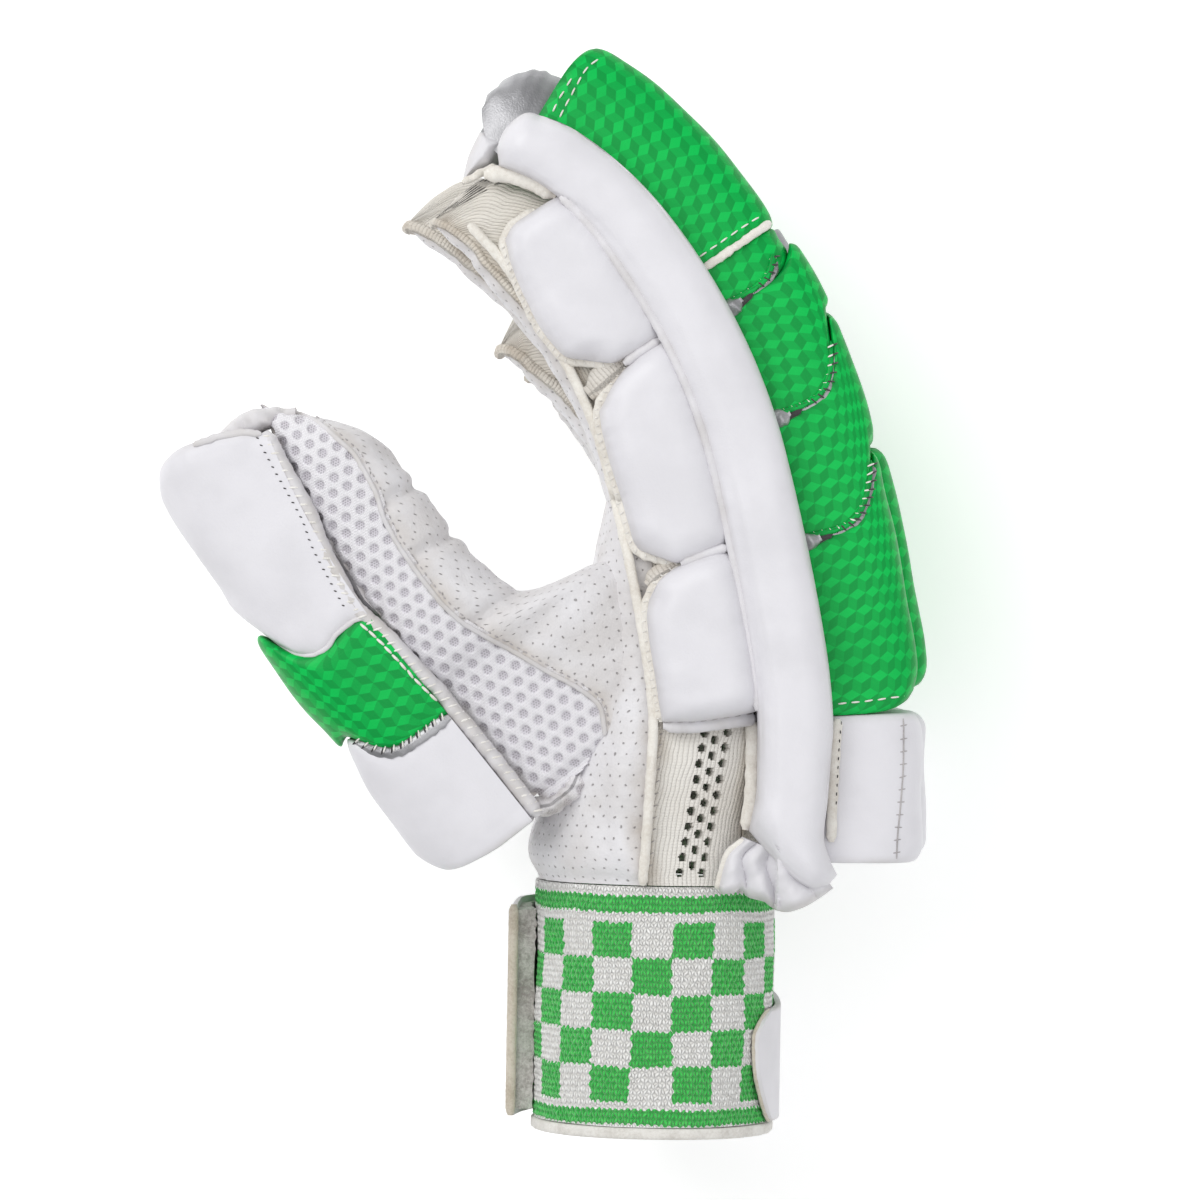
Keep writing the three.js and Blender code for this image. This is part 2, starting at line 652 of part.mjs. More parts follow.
function buildThumb() {
  const leather = toSolid(wall(thumbSections, 140 + SEAM, 390 - SEAM, 12, 0, LEATHER_WALL));
  const mesh = toSolid(wall(thumbSections, 30, 140, 6, 0, LEATHER_WALL));
  add('thumb_leather', fromSolid(leather.subtract(handCore)), 'leather');
  add('thumb_mesh', fromSolid(mesh.subtract(handCore)), 'mesh');
  for (const pad of THUMB_PADS) {
    const s0 = pad.from * THUMB_LENGTH + ROLL_GAP / 2;
    const s1 = pad.to * THUMB_LENGTH - ROLL_GAP / 2;
    const rise = THUMB_RISE * pad.rise;
    const edge = GAP + rise * 0.25;
    const grid = (top) => ROLL_CROWN.map((crown) => steps(180, 0, 6).map((degrees) => {
      const p = squarePoint(3, degrees);
      const n = top ? edge + (rise * crown.rise - edge) * p.z : GAP;
      const slant = (THUMB_SLANT * n) / THUMB_RISE;
      const s = THREE.MathUtils.lerp(s0 + slant, s1 + slant * pad.far, crown.at);
      const half = (THUMB_WIDTH / 2) * crown.width * (top ? 1 : 0.96);
      return thumbGuide(s, n, thumbSection(s / THUMB_LENGTH).centre + half * p.n);
    }));
    const pillow = toSolid(slab(grid(true), grid(false)));
    add(pad.name, fromSolid(pillow.subtract(handCore)), pad.paint);
  }
}

function buildCuff() {
  const tube = steps(-GAP, HEM_HEIGHT + GAP - CUFF_HEIGHT, 3).map(cuffSection);
  add('cuff', wall(tube, 0, 360, 32, 0, CUFF_WALL), 'cuff');
  const hem = [HEM_HEIGHT - CUFF_HEIGHT, -CUFF_HEIGHT].map(cuffSection);
  add('cuff_hem', wall(hem, 0, 360, 32, -HEM_LIP, CUFF_WALL), 'cuff');
}

// The strap runs from its tab on the back, round the little-finger side, to its free end
function buildStrap() {
  const angles = steps(33.75, -191.25, 20);
  const band = (away, shares, low, high) => steps(0, 1, 3).map((v) => shares.map((at) => {
    const height = STRAP_HEIGHT * between(STRAP_SHAPE, 'height', at);
    const s = -STRAP_LOW + height * THREE.MathUtils.lerp(low, high, v);
    const stand = STRAP_STAND_OFF * between(STRAP_SHAPE, 'stand', at);
    const turn = THREE.MathUtils.lerp(angles[0], angles[20], at);
    return ring(cuffSection(s), [turn], -GAP - stand - away)[0];
  }));
  const shares = steps(0, 1, 20);
  add('strap', slab(band(STRAP_WALL, shares, 0, 1), band(0, shares, 0, 1)), 'cuff');
  const end = [0.95, 0.97, 0.99];
  const tape = slab(band(-GAP, end, 0.04, 0.96), band(-GAP - HOOK_WALL, end, 0.04, 0.96));
  add('hook_tape', tape, 'hook');
}

buildHand();
buildSideKnit();
buildStalls();
buildRolls();
buildBar('index_side_bar', INDEX, 1);
buildBar('little_side_bar', LITTLE, -1);
buildSidePads(THUMB_SIDE_PADS, INDEX, 1, SIDE_PAD_RISE);
buildSidePads(LITTLE_SIDE_PADS, LITTLE, -1, BAR_RISE);
buildPiping();
buildGather();
buildThumb();
buildCuff();
buildStrap();

// Rests the glove on the ground plane, with the middle of its outline at the origin
const size = new THREE.Box3().setFromObject(glove);
const middle = size.getCenter(new THREE.Vector3());
glove.position.set(-middle.x, -middle.y, -size.min.z);

export default glove;
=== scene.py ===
from math import cos, pi, radians, sin
import bpy
import numpy as np
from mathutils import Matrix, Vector
from mathutils.bvhtree import BVHTree


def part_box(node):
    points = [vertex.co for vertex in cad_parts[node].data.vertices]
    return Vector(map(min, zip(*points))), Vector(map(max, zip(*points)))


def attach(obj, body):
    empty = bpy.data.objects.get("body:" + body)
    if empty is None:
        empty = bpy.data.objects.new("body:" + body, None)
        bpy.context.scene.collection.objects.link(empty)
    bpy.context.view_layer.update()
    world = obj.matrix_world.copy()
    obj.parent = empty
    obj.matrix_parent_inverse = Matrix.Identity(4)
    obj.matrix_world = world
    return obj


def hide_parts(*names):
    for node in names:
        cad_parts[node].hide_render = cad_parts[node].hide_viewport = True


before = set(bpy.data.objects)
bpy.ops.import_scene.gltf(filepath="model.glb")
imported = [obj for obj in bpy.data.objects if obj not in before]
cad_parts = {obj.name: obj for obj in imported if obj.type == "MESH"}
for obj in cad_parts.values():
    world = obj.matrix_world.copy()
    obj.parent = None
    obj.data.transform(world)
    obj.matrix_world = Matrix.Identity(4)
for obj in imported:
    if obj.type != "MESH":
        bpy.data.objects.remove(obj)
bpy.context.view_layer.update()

# The glove's own sizes, in millimetres, as in the part's source
GAP = 0.35
SIDE_GAP = 1.4
LEATHER_WALL = 1.6
KNIT_WALL = 2.2
HAND_LENGTH = 119
FINGER_PITCH = 23
HAND_HALF = 46
BACK_SINK = 15
STALL_DEPTH = 35
BAR_RISE = 13
SIDE_PAD_WIDTH = 22.5
SIDE_PAD_RISE = 12
THUMB_LENGTH = 134
THUMB_DEPTH = 22
THUMB_WIDTH = 38
THUMB_PLACE = 40
CUFF_HEIGHT = 69
CUFF_DEPTH = 66
CUFF_WIDTH = 76
CUFF_WALL = 3.2
HEM_HEIGHT = 3
HEM_SWELL = 0.5
HEM_SIDES = 32
STRAP_WALL = 2
STRAP_LOW = 65.4
STRAP_HEIGHT = 60
STRAP_LENGTH = 220

# Sizes shared by a shape and its finish, in millimetres
CUFF_STITCH = 1.8
CUFF_ROW = 1.62
CHECK_WIDTH = 11.4
CHECK_HEIGHT = 9.78
CHECK_START = 9.8
CHECK_COLUMNS = 20
CHECK_ROWS = 5
CUFF_STRIPES = [(2.4, 7.0), (60.7, 64.9)]
MESH_PITCH = 4.4
MESH_HOLE = 1.36

# Where the pierced rows of the forefinger's sheath start, and the step between a laid cord's points
PIERCED_FROM = 104.0
CORD_PITCH = 0.8

# Spacing of staggered rows as a share of the pitch, the angle past which an edge is sharp, and up
STAGGER = 0.866
SHARP_ANGLE = 60
UP = np.array([0, 0, 1.0])

# Past so many points the inner face of a body has only every fourth row and column
LARGE_GRID = 1500
INNER_STEP = 4

# Height from which pieces are looked down on to lay stitches and cords on them
RAY_HEIGHT = 400

# What a piece without a seam has as its distance from one
FAR_AWAY = 99.0

# Tables: the first number is the share of the way along, and the second is the value there
HAND_LEAN = [(0, -1), (0.35, 1), (0.55, 9), (0.8, 12), (1, 14)]
FINGER_CURL = [(0, 0), (0.3, 0.27), (0.6, 0.52), (0.85, 0.88), (1, 1)]
THUMB_LEAN = [(0, 38), (0.45, 39), (0.7, 30), (1, 20)]
HAND_DEPTH = [(0, 1), (0.09, 1.02), (0.33, 0.88), (0.55, 0.76), (0.84, 0.66), (1, 0.54)]
HAND_WIDTH = [(0, 0.84), (0.09, 0.88), (0.33, 0.985), (1, 0.995)]
HAND_SQUARE = [(0, 2.2), (0.09, 2.4), (0.33, 3), (0.55, 3.6), (0.84, 4), (1, 4.4)]
STALL_DEPTHS = [(0.54, 1), (0.71, 0.98), (0.88, 0.83), (0.96, 0.6), (1, 0.45), (1.06, 0.14)]
STALL_WIDTHS = [(0.3, 0.985), (0.54, 0.975), (0.71, 0.95), (0.88, 0.88), (0.96, 0.8), (1, 0.72),
                (1.06, 0.5)]
STALL_SINKS = [(0.54, 1), (0.71, 1.04), (0.88, 1.24), (0.96, 1.48), (1, 1.7), (1.06, 2.15)]
THUMB_DEPTHS = [(0.04, 3), (0.315, 2.75), (0.37, 1.75), (0.45, 1.46), (0.7, 1.36), (0.85, 1.16),
                (0.95, 0.78), (1.005, 0.3)]
THUMB_WIDTHS = [(0.04, 0.74), (0.315, 0.9), (0.37, 0.97), (0.45, 1), (0.7, 0.98), (0.85, 0.93),
                (0.95, 0.8), (1.005, 0.5)]
THUMB_PLACES = [(0.04, 0.65), (0.315, 0.78), (0.37, 0.84), (0.45, 0.9), (0.7, 0.98), (0.85, 1.02),
                (0.95, 1.03), (1.005, 1.04)]
THUMB_SQUARES = [(0.04, 2.6), (0.315, 2.6), (0.37, 2.5), (0.45, 2.4), (0.85, 2.4), (0.95, 2.3), (1.005, 2.2)]
PIPING_LINE = [(0, -52), (0.38, -49), (0.8, -48.4), (1.06, -48.2), (1.34, -46.8), (1.67, -45.2),
               (1.83, -42), (2, -38)]


def between(rows, at):
    """A value between the rows of a table"""
    return np.interp(at, [row[0] for row in rows], [row[1] for row in rows])


def soft(rows, at):
    """As between, but along a smooth curve through the rows"""
    x, y = (np.array([row[k] for row in rows], float) for k in (0, 1))
    step = np.diff(x)
    rise = np.diff(y) / step
    slope = np.concatenate([rise[:1], np.zeros(len(x) - 2), rise[-1:]])
    same = rise[:-1] * rise[1:] > 0
    slope[1:-1][same] = 2 / (1 / rise[:-1][same] + 1 / rise[1:][same])
    at = np.clip(at, x[0], x[-1])
    i = np.clip(np.searchsorted(x, at, side="right") - 1, 0, len(x) - 2)
    t = (at - x[i]) / step[i]
    low, high, gain = slope[i] * step[i], slope[i + 1] * step[i], y[i + 1] - y[i]
    return y[i] + low * t + (3 * gain - 2 * low - high) * t ** 2 + (low + high - 2 * gain) * t ** 3


def mix(a, b, share):
    """The value at a share of the way from a to b"""
    return a + (b - a) * share


def smooth(low, high, value):
    """0 below low, 1 above high, and a soft step between"""
    share = np.clip((value - low) / (high - low), 0, 1)
    return share * share * (3 - 2 * share)


def uneven(u, v, size, seed):
    """A soft uneven field from about -1 to 1, with bumps of one size in millimetres"""
    dice = np.random.default_rng(seed)
    total = 0
    for _ in range(7):
        turn = dice.uniform(0, 2 * pi)
        wave = size * dice.uniform(0.7, 1.7)
        total = total + np.cos(2 * pi * (u * cos(turn) + v * sin(turn)) / wave + dice.uniform(0, 2 * pi))
    return total / 4


class Guide:
    """A curve in the plane of the hand. s is the way along it and n the height above it"""

    def __init__(self, x, y, length, lean_at, outward):
        self.outward = outward
        self.lean = np.radians(lean_at(np.arange(length + 1)))
        self.x = x + np.concatenate([[0], np.cumsum(-np.sin(self.lean[:-1]))])
        self.y = y + np.concatenate([[0], np.cumsum(np.cos(self.lean[:-1]))])

    def place(self, s, n, z):
        s, n, z = np.broadcast_arrays(np.asarray(s, float), np.asarray(n, float), np.asarray(z, float))
        i = np.clip(np.floor(s).astype(int), 0, len(self.x) - 2)
        share = s - i
        lean = mix(self.lean[i], self.lean[i + 1], np.clip(share, 0, 1))
        x = mix(self.x[i], self.x[i + 1], share) + self.outward * n * np.cos(lean)
        y = mix(self.y[i], self.y[i + 1], share) + self.outward * n * np.sin(lean)
        return np.stack([x, y, z], -1)

    def locate(self, points):
        """s and n of points near the guide"""
        gap = (points[..., None, 0] - self.x) ** 2 + (points[..., None, 1] - self.y) ** 2
        i = np.argmin(gap, -1)
        dx = points[..., 0] - self.x[i]
        dy = points[..., 1] - self.y[i]
        lean = self.lean[i]
        s = i - dx * np.sin(lean) + dy * np.cos(lean)
        return s, self.outward * (dx * np.cos(lean) + dy * np.sin(lean))


class Finger:
    """A finger. place is in finger pitches across the hand, curl in degrees and rise the height of
    its rolls. droop says how much it sinks towards the tip, and end is the share where it closes"""

    def __init__(self, name, place, length, curl, rise, droop, end):
        self.name = name
        self.length = length
        self.rise = rise
        self.droop = droop
        self.end = end
        self.centre = place * FINGER_PITCH

        def lean(s):
            on_hand = between(HAND_LEAN, s / HAND_LENGTH)
            return on_hand + curl * between(FINGER_CURL, (s - HAND_LENGTH) / length)

        self.guide = Guide(0, 0, HAND_LENGTH + length, lean, 1)

    def station(self, mark):
        """Way along the guide of a mark: 0 at the wrist, 1 at the finger's root, 2 at its tip"""
        mark = np.asarray(mark, float)
        return np.where(mark <= 1, mark * HAND_LENGTH, HAND_LENGTH + (mark - 1) * self.length)

    def sink(self, along):
        return 1 + (soft(STALL_SINKS, along) - 1) * self.droop

    def section(self, s):
        along = (s - HAND_LENGTH) / self.length
        full = np.minimum(along, 0.93)
        t = np.clip((along - 0.93) / (self.end - 0.93), 0, 1)
        close = np.clip(1 - t ** 2.8, 0.003, 1) ** 0.85
        depth = STALL_DEPTH * soft(STALL_DEPTHS, full)
        return {
            "guide": self.guide, "s": s,
            "back": 3 * t * t - BACK_SINK * self.sink(full) - (1 - close) * depth,
            "depth": depth * close, "centre": self.centre + 0 * s,
            "half": FINGER_PITCH / 2 * soft(STALL_WIDTHS, full) * (1 - t ** 2.4 * 0.995) ** 0.4,
            "square": 3.4 - 1.2 * t}


INDEX = Finger("index", 1.5, 121, 46, 25, 1, 1.065)
MIDDLE = Finger("middle", 0.5, 128, 49, 28, 1.5, 1.08)
RING = Finger("ring", -0.5, 100, 60, 27, 1.2, 1.035)
LITTLE = Finger("little", -1.5, 85, 56, 23, 1, 1.05)
FINGERS = [INDEX, MIDDLE, RING, LITTLE]
THUMB = Guide(-81, 18.4, THUMB_LENGTH, lambda s: between(THUMB_LEAN, s / THUMB_LENGTH), -1)


def hand_section(s):
    """Section of the hand at s: its back, depth, middle, half width and squareness"""
    at = s / HAND_LENGTH
    return {
        "guide": INDEX.guide, "s": s, "back": -BACK_SINK + 0 * s, "depth": CUFF_DEPTH * soft(HAND_DEPTH, at),
        "centre": 0 * s, "half": HAND_HALF * soft(HAND_WIDTH, at), "square": soft(HAND_SQUARE, at)}


def cuff_section(s):
    """Section of the cuff at s"""
    flat = 0 * s
    return {
        "guide": INDEX.guide, "s": s, "back": flat - BACK_SINK, "depth": flat + CUFF_DEPTH,
        "centre": flat, "half": flat + CUFF_WIDTH / 2, "square": flat + 2.2}


def thumb_section(s):
    """Section of the thumb at s"""
    at = s / THUMB_LENGTH
    close = np.clip(1 - (np.maximum(at - 0.85, 0) / 0.164) ** 2, 0.0004, 1)
    return {
        "guide": THUMB, "s": s, "back": 0 * s,
        "depth": THUMB_DEPTH * soft(THUMB_DEPTHS, at) * close ** 0.75,
        "centre": THUMB_PLACE * soft(THUMB_PLACES, at),
        "half": THUMB_WIDTH / 2 * soft(THUMB_WIDTHS, at) * close ** 0.4,
        "square": soft(THUMB_SQUARES, at)}


def square_point(square, degrees):
    """A point of a round or squarish ring of radius 1"""
    angle = np.radians(degrees)
    n = np.sign(np.cos(angle)) * np.abs(np.cos(angle)) ** (2 / square)
    z = np.sign(np.sin(angle)) * np.abs(np.sin(angle)) ** (2 / square)
    return n, z


def round_section(section, degrees, inset):
    """Points round sections: one row a section, one column an angle, with 0 at the back"""
    part = {key: value[:, None] for key, value in section.items() if key != "guide"}
    middle = part["back"] - part["depth"] / 2
    n, z = square_point(part["square"], np.atleast_2d(degrees))
    depth = np.maximum(part["depth"] / 2 - inset, 0.2)
    half = np.maximum(part["half"] - inset, 0.2)
    return section["guide"].place(part["s"] + 0 * n, middle + depth * n, part["centre"] + half * z)


def inside_section(section_at, guide, points, inset):
    """Which points lie inside a hollow"""
    s, n = guide.locate(points)
    part = section_at(s)
    middle = part["back"] - part["depth"] / 2
    deep = np.abs(n - middle) / (part["depth"] / 2 - inset)
    wide = np.abs(points[..., 2] - part["centre"]) / (part["half"] - inset)
    return deep ** part["square"] + wide ** part["square"] < 1


def even_angles(section, start, end, count):
    """Angles whose points are evenly spread round one section"""
    fine = np.linspace(start, end, 1500)
    points = round_section(section, fine, 0)[0]
    way = np.concatenate([[0], np.cumsum(np.linalg.norm(np.diff(points, axis=0), axis=1))])
    return np.interp(np.linspace(0, way[-1], count + 1), way, fine)


def side_base(finger, s, n):
    """Distance of the side padding's base from the middle plane of the hand"""
    along = (s - HAND_LENGTH) / finger.length
    hand = hand_section(np.clip(s, 0, HAND_LENGTH))
    stall = finger.section(np.maximum(s, HAND_LENGTH))
    on_hand = along <= 0
    keys = ("back", "depth", "half", "square")
    back, depth, half, square = [np.where(on_hand, hand[key], stall[key]) for key in keys]
    away = np.abs(n - back + depth / 2) / (depth / 2)
    share = np.maximum(1 - np.minimum(away, 1) ** square, 0) ** (1 / square)
    clear = np.where(on_hand, SIDE_GAP, SIDE_GAP + GAP)
    wall = np.maximum(np.abs(np.where(on_hand, 0, finger.centre)) + half * share, HAND_HALF * 0.8) + clear
    return np.where(n > back - 1, HAND_HALF + GAP, wall)


# How far the frame's millimetres lie from the guides' own, found from the low corner of the hem
hem_points = round_section(cuff_section(np.array([HEM_HEIGHT - CUFF_HEIGHT, -CUFF_HEIGHT])),
                           np.arange(0, 360, 360 / HEM_SIDES), -HEM_SWELL)
hem_low = np.array(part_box("cuff_hem")[0]) * 1000
SHIFT = hem_low - hem_points.reshape(-1, 3).min(0)


# Mesh making

def lay_mesh(name, points, faces, material, fields):
    """A mesh from points in the glove's millimetres, with fields for its material"""
    mesh = bpy.data.meshes.new(name)
    mesh.from_pydata(((points + SHIFT) * 0.001).tolist(), [], faces)
    mesh.shade_smooth()
    mesh.set_sharp_from_angle(angle=radians(SHARP_ANGLE))
    for key, values in fields.items():
        kind = "FLOAT_VECTOR" if values.ndim == 2 else "FLOAT"
        item = mesh.attributes.new(key, kind, "POINT")
        item.data.foreach_set("vector" if values.ndim == 2 else "value", values.astype(np.float32).ravel())
    mesh.materials.append(material)
    piece = bpy.data.objects.new(name, mesh)
    bpy.context.scene.collection.objects.link(piece)
    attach(piece, "root")
    return piece


def finish_piece(piece, nodes=()):
    """Hides the parts of model.glb that a piece stands for, and gives the piece back"""
    if nodes:
        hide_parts(*nodes)
    return piece


def slab_faces(rows, cols, keep):
    """Faces of a body between an outer and an inner grid. keep says which cells are there"""
    i = np.arange(rows * cols).reshape(rows, cols)
    n = rows * cols
    a, b, c, d = i[:-1, :-1][keep], i[:-1, 1:][keep], i[1:, 1:][keep], i[1:, :-1][keep]
    parts = [np.stack([a, b, c, d], -1), np.stack([a, d, c, b], -1) + n]
    ring = np.pad(keep, 1)
    low, high = ring[:-1, 1:-1], ring[1:, 1:-1]
    p, q = i[:, :-1], i[:, 1:]
    for p0, q0, chosen in ((p, q, high & ~low), (q, p, low & ~high)):
        p1, q1 = p0[chosen], q0[chosen]
        parts.append(np.stack([p1, p1 + n, q1 + n, q1], -1))
    low, high = ring[1:-1, :-1], ring[1:-1, 1:]
    p, q = i[:-1, :], i[1:, :]
    for p0, q0, chosen in ((q, p, high & ~low), (p, q, low & ~high)):
        p1, q1 = p0[chosen], q0[chosen]
        parts.append(np.stack([p1, p1 + n, q1 + n, q1], -1))
    return np.concatenate(parts)


def sparse(count):
    """Every fourth place of a row of count, and its last one"""
    return np.append(np.arange(0, count - 1, INNER_STEP), count - 1)


def lined_faces(rows, cols, out):
    """Faces of a body with a fine outer grid and an inner grid of every fourth row and column"""
    i = np.arange(rows * cols).reshape(rows, cols)
    r, c = sparse(rows), sparse(cols)
    k = rows * cols + np.arange(len(r) * len(c)).reshape(len(r), len(c))
    faces = np.stack([i[:-1, :-1], i[:-1, 1:], i[1:, 1:], i[1:, :-1]], -1).reshape(-1, 4).tolist()
    faces += np.stack([k[:-1, :-1], k[1:, :-1], k[1:, 1:], k[:-1, 1:]], -1).reshape(-1, 4).tolist()
    for fine, coarse, stops, forward in ((i[0], k[0], c, True), (i[:, -1], k[:, -1], r, True),
                                         (i[-1], k[-1], c, False), (i[:, 0], k[:, 0], r, False)):
        for j in range(len(stops) - 1):
            run = fine[stops[j]:stops[j + 1] + 1].tolist()
            near, far = int(coarse[j]), int(coarse[j + 1])
            faces.append([run[0], near, far] + run[:0:-1] if forward else [run[-1], far, near] + run[:-1])
    return faces if out else [face[::-1] for face in faces]


def facing_out(points, faces):
    """Faces turned so that they face outwards"""
    a, b, c = points[faces[:, 0]], points[faces[:, 1]], points[faces[:, 2]]
    volume = np.einsum("ij,ij->i", a, np.cross(b, c)).sum()
    return faces if volume > 0 else faces[:, ::-1]


def measure(grid):
    """Flat place of each point of a grid, in millimetres: across from its middle, and along"""
    across = np.zeros(grid.shape[:2])
    across[:, 1:] = np.cumsum(np.linalg.norm(np.diff(grid, axis=1), axis=2), axis=1)
    across -= across[:, across.shape[1] // 2][:, None]
    along = np.zeros(grid.shape[:2])
    along[1:] = np.cumsum(np.linalg.norm(np.diff(grid, axis=0), axis=2), axis=0)
    return across, along


def slab(name, outer, inner, material, keep=None, flat=None, seam=None):
    """A body between two grids, with its flat place and its distance from a seam as fields"""
    rows, cols = outer.shape[:2]
    across, along = flat if flat else measure(outer)
    place = np.stack([across, along, 0 * along], -1)
    seams = np.full(across.shape, FAR_AWAY) if seam is None else seam
    if keep is None and rows * cols > LARGE_GRID:
        picked = np.ix_(sparse(rows), sparse(cols))
        points = np.concatenate([outer.reshape(-1, 3), inner[picked].reshape(-1, 3)])
        fields = {"flat": np.concatenate([place.reshape(-1, 3), place[picked].reshape(-1, 3)]),
                  "seam": np.concatenate([seams.ravel(), seams[picked].ravel()])}
        u, v = outer[:-1, 1:] - outer[:-1, :-1], outer[1:, :-1] - outer[:-1, :-1]
        out = np.einsum("ijk,ijk->", np.cross(u, v), (outer - inner)[:-1, :-1]) > 0
        return lay_mesh(name, points, lined_faces(rows, cols, out), material, fields)
    if keep is None:
        keep = np.ones((rows - 1, cols - 1), bool)
    points = np.concatenate([outer.reshape(-1, 3), inner.reshape(-1, 3)])
    faces = facing_out(points, slab_faces(rows, cols, keep))
    used = np.unique(faces)
    renumber = np.zeros(len(points), int)
    renumber[used] = np.arange(len(used))
    fields = {"flat": np.concatenate([place.reshape(-1, 3)] * 2)[used],
              "seam": np.concatenate([seams.ravel()] * 2)[used]}
    return lay_mesh(name, points[used], renumber[faces].tolist(), material, fields)


def path_frames(path, up):
    """Directions across and above a path of points"""
    along = np.gradient(path, axis=0)
    along /= np.linalg.norm(along, axis=1)[:, None] + 1e-9
    across = np.cross(along, up)
    across /= np.linalg.norm(across, axis=1)[:, None] + 1e-9
    return across, np.cross(across, along)


def cord(name, path, width, height, material, sides=10, rough=0.0, seed=1, square=2.4, up=UP):
    """A sewn cord or binding: an oval section run along a path"""
    across, above = path_frames(path, up)
    way = np.concatenate([[0], np.cumsum(np.linalg.norm(np.diff(path, axis=0), axis=1))])
    degrees = np.linspace(0, 360, sides, endpoint=False)
    n, z = square_point(square, degrees)
    swell = 1 + rough * uneven(way[:, None], degrees[None, :] / 40, 3.0, seed)
    end = np.clip(np.minimum(way, way[-1] - way) / (width * 0.5), 0.25, 1)[:, None] ** 0.5
    side = (width / 2 * z[None, :] * swell * end)[..., None] * across[:, None, :]
    top = (height / 2 * n[None, :] * swell * end)[..., None] * above[:, None, :]
    grid = path[:, None, :] + side + top
    rows = len(path)
    i = np.arange(rows * sides).reshape(rows, sides)
    a, b = i[:-1], np.roll(i, -1, 1)[:-1]
    quads = np.stack([a, b, np.roll(i, -1, 1)[1:], i[1:]], -1).reshape(-1, 4)
    points = np.concatenate([grid.reshape(-1, 3), path[:1], path[-1:]])
    first, last = rows * sides, rows * sides + 1
    near = np.stack([np.roll(i[0], -1), i[0], np.full(sides, first), np.full(sides, first)], -1)
    far = np.stack([i[-1], np.roll(i[-1], -1), np.full(sides, last), np.full(sides, last)], -1)
    faces = quads.tolist() + [f[:3] for f in near.tolist()] + [f[:3] for f in far.tolist()]
    volume = sum(np.dot(points[f[0]], np.cross(points[f[1]], points[f[2]])) for f in faces[::7])
    if volume < 0:
        faces = [f[::-1] for f in faces]
    round_way = np.tile(degrees * width / 120, rows)
    place = np.stack([np.repeat(way, sides), round_way, np.zeros(rows * sides)], -1)
    flat = np.concatenate([place, place[:2]])
    return finish_piece(lay_mesh(name, points, faces, material, {"flat": flat}))


def threads(name, starts, ends, radius, material, arch):
    """Short stitches, each a bent thread from one point to another"""
    steps = np.linspace(0, 1, 6)
    turns = np.linspace(0, 2 * pi, 6, endpoint=False)
    ring_cos, ring_sin = np.cos(turns)[None, :, None], np.sin(turns)[None, :, None]
    ring = np.arange(6)
    points = []
    faces = []
    for start, end in zip(starts, ends):
        lift = arch * np.sin(pi * steps) - 0.35 * (np.abs(steps - 0.5) * 2) ** 4
        line = start + (end - start) * steps[:, None] + UP * lift[:, None]
        across, above = path_frames(line, UP)
        slim = radius * (0.75 + 0.25 * np.sin(pi * steps))[:, None, None]
        turned = ring_cos * across[:, None] + ring_sin * above[:, None]
        base = len(points) * 36
        points.append((line[:, None] + slim * turned).reshape(-1, 3))
        for k in range(5):
            a = base + k * 6 + ring
            b = base + k * 6 + (ring + 1) % 6
            faces.extend(np.stack([a, b, b + 6, a + 6], -1).tolist())
        faces.append((base + ring[::-1]).tolist())
        faces.append((base + 30 + ring).tolist())
    points = np.concatenate(points)
    return finish_piece(lay_mesh(name, points, faces, material, {"flat": points * 1.0}))


TREES = {}


def on_top(pieces, points, lift):
    """Points moved along z onto the top of some pieces. Points beside them are left out as NaN"""
    points = np.array(points, float)
    for point in points:
        best = None
        for piece in pieces:
            if piece.name not in TREES:
                mesh = piece.data
                TREES[piece.name] = BVHTree.FromPolygons([v.co for v in mesh.vertices],
                                                         [p.vertices[:] for p in mesh.polygons])
            start = Vector((point[0] + SHIFT[0], point[1] + SHIFT[1], RAY_HEIGHT)) * 0.001
            hit = TREES[piece.name].ray_cast(start, Vector((0, 0, -1)))[0]
            if hit is not None:
                height = hit.z * 1000 - SHIFT[2]
                best = height if best is None else max(best, height)
        point[2] = np.nan if best is None else best + lift
    return points


def sew(name, pieces, guide, line, pitch, size, material, turn=0, radius=0.24, arch=0.3):
    """Stitches along a line of s and n points, laid on top of pieces, at an angle to the line"""
    fine = stroke(line, np.linspace(0, 1, 200))
    length = np.hypot(*np.diff(fine, axis=0).T).sum()
    count = max(int(length / pitch), 2)
    share = (np.arange(count) + 0.5) / count
    middle = stroke(line, share)
    ahead = stroke(line, np.minimum(share + 0.004, 1)) - stroke(line, share - 0.004)
    ahead /= np.hypot(*ahead.T)[:, None]
    angle = radians(turn) + 0.12 * uneven(np.arange(count), 0 * share, 3, count)
    way = np.stack([ahead[:, 0] * np.cos(angle) - ahead[:, 1] * np.sin(angle),
                    ahead[:, 0] * np.sin(angle) + ahead[:, 1] * np.cos(angle)], -1) * size / 2
    ends = [on_top(pieces, guide.place(*(middle + side * way).T, 0), radius * 0.6) for side in (-1, 1)]
    for one, other in (ends, ends[::-1]):
        off = np.isnan(one[:, 2])
        one[off, 2] = other[off, 2] - 0.8
    good = ~np.isnan(ends[0][:, 2])
    return threads(name, ends[0][good], ends[1][good], radius, material, arch)


def lay_cord(name, pieces, guide, line, width, height, material, sink=0.2, rough=0.12, seed=3):
    """A binding laid on top of pieces along a line of s and n points"""
    fine = stroke(line, np.linspace(0, 1, 200))
    count = max(int(np.hypot(*np.diff(fine, axis=0).T).sum() / CORD_PITCH), 6)
    path = on_top(pieces, guide.place(*stroke(line, np.linspace(0, 1, count)).T, 0), height * (0.5 - sink))
    path = path[~np.isnan(path[:, 2])]
    path[:, 2] = np.convolve(np.pad(path[:, 2], 2, "edge"), np.ones(5) / 5, "valid")
    return cord(name, path, width, height, material, rough=rough, seed=seed)


# Materials

